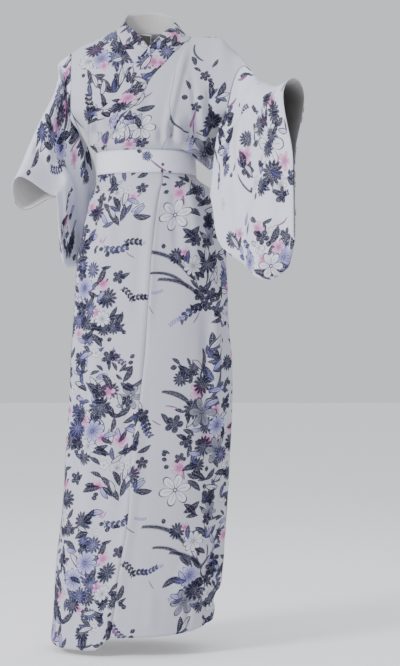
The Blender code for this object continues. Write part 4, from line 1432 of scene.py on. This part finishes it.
def clothMaterial(name, plain, printed=True):
    maker = Maker(name)
    flat = maker.node("ShaderNodeUVMap", {"uv_map": "clothFlat"}).out("UV")
    u, v, _ = maker.split(flat)
    cloud = maker.node(
        "ShaderNodeTexNoise", None, {"Vector": flat, "Scale": 7.0, "Detail": 3.0, "Roughness": 0.5}
    ).out("Fac")
    slub = maker.node(
        "ShaderNodeTexNoise", None,
        {"Vector": stretched(maker, flat, 60.0, 900.0), "Scale": 1.0, "Detail": 2.0},
    ).out("Fac")
    warm = tuple(channel * factor for channel, factor in zip(plain, (0.955, 0.95, 0.945)))
    colour = maker.blend((cloud - 0.35).clamped(2.2, 0.0), (*plain, 1), (*warm, 1))
    speck = (slub - 0.5) * 0.10 + 0.5
    colour = maker.blend(0.35, colour, maker.blend(speck, (0.80, 0.80, 0.82, 1), (1, 1, 1, 1)), "MULTIPLY")
    threadU = (u * (2 * math.pi / 0.0011)).math("SINE")
    threadV = (v * (2 * math.pi / 0.0011)).math("SINE")
    edging = maker.node("ShaderNodeAttribute", {"attribute_name": "edging"}).out("Vector")
    edge, line, _ = maker.split(edging)
    stitch = near(edge, hemValues["turned"], 0.0007) * (fract(line / hemValues["stitch"]) < 0.62)
    step = (hemValues["turned"] + 0.001 - edge).clamped(900, 0.0)
    weaveHeight = threadU * threadV * 0.5 + slub * 0.9 + step * 1.4 - stitch * 1.6
    colour = maker.blend(stitch * 0.30, colour, (0.36, 0.36, 0.42, 1))
    ink = None
    if printed:
        grain = maker.node(
            "ShaderNodeTexNoise", None, {"Vector": flat, "Scale": 420.0, "Detail": 2.0}
        ).out("Fac")
        hold = (grain - 0.30).clamped(2.6, 0.55)
        span = len(inkStyles)
        inner = [(k / span, row[1]) for k, row in enumerate(inkStyles)]
        outer = [(k / span, row[2]) for k, row in enumerate(inkStyles)]
        lines = [(k / span, row[3]) for k, row in enumerate(inkStyles)]
        for layer in range(layerCount):
            filled, drawn, shade, style = motifMasks(maker, layer)
            near0 = maker.node("ShaderNodeValToRGB", {"stops": inner}, {"Fac": style}).out("Color")
            far0 = maker.node("ShaderNodeValToRGB", {"stops": outer}, {"Fac": style}).out("Color")
            line = maker.node("ShaderNodeValToRGB", {"stops": lines}, {"Fac": style}).out("Color")
            body = maker.blend((shade - 0.15).clamped(1.3, 0.0), near0, far0)
            body = maker.blend(drawn, body, line)
            cover = (filled.math("MAXIMUM", drawn) * hold).clamped(1.0, 0.0)
            colour = maker.blend(cover * 0.96, colour, body)
            ink = cover if ink is None else ink.math("MAXIMUM", cover)
    maker.join("Base Color", colour)
    rough = 0.86 - cloud * 0.06
    maker.join("Roughness", rough if ink is None else rough - ink * 0.05)
    bump = maker.node(
        "ShaderNodeBump", None, {"Strength": 0.28, "Distance": 0.0006, "Height": weaveHeight}
    ).out("Normal")
    maker.join("Normal", bump)
    maker.shader.inputs["Sheen Weight"].default_value = 0.02
    maker.shader.inputs["Sheen Roughness"].default_value = 0.5
    maker.shader.inputs["Specular IOR Level"].default_value = 0.10
    return maker.material


def stretched(maker, vector, across, along):
    return maker.node(
        "ShaderNodeVectorMath", {"operation": "MULTIPLY"}, {0: vector, 1: (across, along, 1.0)}
    ).out("Vector")


# Lit and shaded copies of one cloth. The body's plain colour is darker (painted shade) and the sleeves' and
# belt's are lighter (painted light), to match how the light falls on each piece.
paintedLightClothColours = {
    "body": (0.54, 0.545, 0.62),
    "sleeve": (0.70, 0.71, 0.81),
    "belt": (0.80, 0.80, 0.91),
    # inside: the warm grey of the cloth's inner face seen in shade, painted shade
    "inside": (0.60, 0.585, 0.58),
}
printedCloths = {
    name: clothMaterial(name + "Cloth", paintedLightClothColours[name]) for name in ("body", "sleeve", "belt")
}
plainCloth = clothMaterial("plainCloth", paintedLightClothColours["inside"], printed=False)
print("cloth materials made")


# the sewn pieces

def away(places, ring=False):  # +1 where the grid already faces outwards, and -1 where it faces in
    normal = outward(places)
    if ring:
        middle = places.mean(axis=1, keepdims=True)
    else:
        middle = np.zeros_like(places)
        middle[..., 2] = np.minimum(places[..., 2], -0.12)
    return 1 if (normal * (places - middle)).sum(axis=2).mean() > 0 else -1


def finish(piece, node):
    piece.data.materials.append(printedCloths.get(node.split("_")[0], printedCloths["body"]))
    piece.data.materials.append(plainCloth)
    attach(piece, "root")
    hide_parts(node)
    print(piece.name, "made")


def wide(across):  # widest and mean width of a sheet, from its flat coordinate
    widths = np.ptp(across, axis=1)
    return round(float(widths.max()), 3), round(float(widths.mean()), 3)


def measured(places):
    across = np.diff(places, axis=1)[:-1]
    along = np.diff(places, axis=0)[:, :-1]
    return float(np.linalg.norm(np.cross(across, along), axis=2).sum())


def makeBody(side, name, node):
    rows = allRows()
    columns = gridValues["stripColumns"]
    places = gridOf(columns, rows, lambda row, t: edgeGap(lambda s: stripPoint(side, row, s), t))
    u, v = flatSizes(places)
    total = v[-1, 0]
    ridge = next(k for k, row in enumerate(rows) if row[0] == "top" and row[1] >= 90)
    hem = np.minimum(v, total - v)
    u = side * (u[:, -1:] - u)
    seen = np.repeat(np.array([row[5] > 0 for row in rows])[:, None], columns + 1, axis=1)
    shaped = creased(places, frontCreases, seen, back=1.0)
    piece = clothMesh(name, shaped, u, v[ridge, 0] - v, cloth, edge=hem, line=u, turned=away(shaped))
    print(name, "cut", wide(u), round(float(total), 3), "area", round(measured(shaped), 3))
    motifs = Print(piece)
    facing = motifs.middle[..., 1] > 0
    if side > 0:
        motifs.stampSeen(withSprays(skirtPrint, skirtSprays), (0, 1), facing)
        motifs.stampSeen(withSprays(leftFrontPrint, leftFrontSprays), (0,), facing)
        sideFront = facing & (np.abs(motifs.middle[:, 0]) > 0.155) & (motifs.middle[:, 1] > 0.34)
        motifs.stampTile(0.16, 0.12, sideFront)
    else:
        motifs.stampSeen(withSprays(rightChestPrint, rightChestSprays), (0,), facing)
        motifs.stampTile(-0.02, 0.30, facing & (motifs.middle[:, 1] > 0.33))
    motifs.stampTile(0.05 * side, 0.09, ~facing)
    motifs.write()
    finish(piece, node)


overlapValues = {
    1: {"flat": (0.228, 1.417), "area": 0.254, "columns": 26},
    -1: {"flat": (0.223, 1.391), "area": 0.243, "columns": 22},
}


def makeOverlap(side, name, node):
    rows = frontRows() + archRows(0, lapTip)
    columns = overlapValues[side]["columns"]
    places = gridOf(columns, rows, lambda row, t: edgeGap(lambda s: lapPoint(side, row, s), t))
    u, v = flatSizes(places)
    low = places[..., 2] < beltTopZ
    hem = np.where(low, np.minimum(v, u[:, -1:] - u), v)
    seen = np.ones(u.shape, bool)
    shaped = creased(places, frontCreases, seen)
    piece = clothMesh(name, shaped, -side * u, v[-1, 0] - v, cloth, edge=hem, line=v, turned=away(shaped))
    print(name, "cut", wide(u), round(float(v[-1, 0]), 3), "area", round(measured(shaped), 3))
    motifs = Print(piece)
    if side > 0:
        motifs.stampSeen(withSprays(skirtPrint, skirtSprays), (0, 1))
        motifs.stampSeen(withSprays(rightChestPrint, rightChestSprays), (0,))
        hidden = (motifs.middle[:, 0] < -0.145) & (motifs.middle[:, 1] > 0.2)
        motifs.stampTile(0.08, 0.18, hidden)
    else:
        motifs.stampTile(0.04, 0.2, np.ones(len(motifs.middle), bool))
    motifs.write()
    finish(piece, node)


collarValues = {"flat": (0.093, 1.175), "area": 0.06, "lowest": -0.31, "wall": 0.0022}


def makeCollar():
    values = collarValues
    half = [row for row in frontRows() if row[0] != "low" or row[1] >= values["lowest"]]
    half += archRows(0, 90) + archRows(91, neckEnd)
    rows = [(1, row) for row in half] + [(-1, row) for row in reversed(half[:-1])]

    def place(pair, share):
        side, row = pair
        spot = bandPoint(side, row, share)
        if share == 0.0:
            inside = bandPoint(side, row, 0.05)
            standing = smooth((row[1] - 60) / 30) if row[0] == "top" else 0.0
            spot += (inside - spot).normalized() * mix(seam, neckSeam, standing)
        return spot

    columns = gridValues["bandColumns"]
    places = gridOf(columns, rows, place)
    u, v = flatSizes(places)
    seen = places[..., 1] < 0.02
    crown = np.sin(np.pi * np.linspace(0, 1, columns + 1)) * 0.0006  # the folded band is a little full
    shaped = creased(places, frontCreases, seen)
    turned = away(shaped)
    shaped = shaped + outward(shaped) * turned * crown[None, :, None]
    piece = clothMesh("collarBand", shaped, u, v, values["wall"], turned=turned)
    print("collar cut", wide(u), round(float(v[-1, 0]), 3), "area", round(measured(shaped), 3))
    motifs = Print(piece)
    motifs.stampSeen(withSprays(collarPrint, collarSprays))
    motifs.stampSeen(withSprays(rightChestPrint, rightChestSprays))
    behind = motifs.places[..., 1].mean(axis=1) > -0.02
    motifs.stampTile(0.0, 0.05, behind)
    motifs.write()
    finish(piece, "collar")


def makeSleeve(side, rings, name, node, stamps, creases):
    count = gridValues["sleeveRing"]
    down = [(1, 0.6 * k / count + 0.4 * smooth(k / count)) for k in range(count + 1)]
    shares = down + [(-1, share) for _, share in reversed(down[:-1])]
    stations = [k / gridValues["sleeveStations"] for k in range(gridValues["sleeveStations"] + 1)]
    places = np.array([
        [sleevePoint(side, rings, station, layer, share) for layer, share in shares]
        for station in stations
    ])
    places[:, -1] = places[:, 0]
    u, v = flatSizes(places)
    seen = np.repeat(np.array([layer > 0 for layer, _ in shares])[None, :], len(stations), axis=0)
    turned = away(places, ring=True)
    height = creaseGain * sleeveGain * creaseHeight(inPhoto(places), creases) * np.where(seen, 1.0, 0.75)
    low = np.array([share for _, share in shares])
    fade = np.clip(low / 0.08, 0, 1) * np.clip((1 - low) / 0.04, 0, 1)
    inward = np.clip(np.array(stations) / 0.08, 0, 1)[:, None] * fade[None, :]
    shaped = places + outward(places) * (turned * height * inward)[..., None]
    shaped[:, -1] = shaped[:, 0]
    cuff = v[-1:, :] - v
    piece = clothMesh(
        name, shaped, side * v, u, cloth, edge=cuff, line=u, turned=turned, closed=True
    )
    print(name, "cut", wide(v.T), round(float(u[:, -1].mean()), 3), "area", round(measured(shaped), 3))
    motifs = Print(piece)
    front = motifs.middle[:, 1] < u[:, count].mean()
    motifs.stampSeen(stamps, (0,), front)
    motifs.stampTile(0.02, 0.16, ~front)
    motifs.write()
    finish(piece, node)


beltValues = {"flat": (0.05, 0.777), "rows": 8, "wall": 0.0014, "wobble": 0.0004}


def makeBelt():
    values = beltValues
    columns = gridValues["beltColumns"]

    def place(share, t):
        turned = t * beltTurn
        angle = beltStart - turned
        lap = beltLap * smooth((turned - 318) / 30)
        z = mix(beltBottomZ, beltTopZ, share)
        wobble = values["wobble"] * math.sin(turned * 0.17 + share * 4) * math.sin(share * math.pi)
        return lowPoint(angle, z, beltLift + lap + wobble)

    beltTurn = 405.0
    beltStart = 200.0
    shares = [k / values["rows"] for k in range(values["rows"] + 1)]
    places = gridOf(columns, shares, place)
    u, v = flatSizes(places)
    ends = np.minimum(u, u[:, -1:] - u)
    piece = clothMesh("beltBand", places, -u, -v, values["wall"], edge=ends, line=v, turned=away(places))
    print("belt cut", wide(v.T), round(float(u[0, -1]), 3), "area", round(measured(places), 3))
    motifs = Print(piece)
    motifs.stampSeen(stampsOf(beltPrint))
    motifs.write()
    finish(piece, "belt")


makeBody(1, "bodyLeftCloth", "body_left")
makeBody(-1, "bodyRightCloth", "body_right")
makeOverlap(1, "overlapLeftCloth", "overlap_left")
makeOverlap(-1, "overlapRightCloth", "overlap_right")
makeCollar()
leftStamps = withSprays(leftSleevePrint, leftSleeveSprays)
rightStamps = withSprays(rightSleevePrint, rightSleeveSprays)
makeSleeve(1, sleeveLeftRings, "sleeveLeftCloth", "sleeve_left", leftStamps, leftSleeveCreases)
makeSleeve(-1, sleeveRightRings, "sleeveRightCloth", "sleeve_right", rightStamps, rightSleeveCreases)
makeBelt()
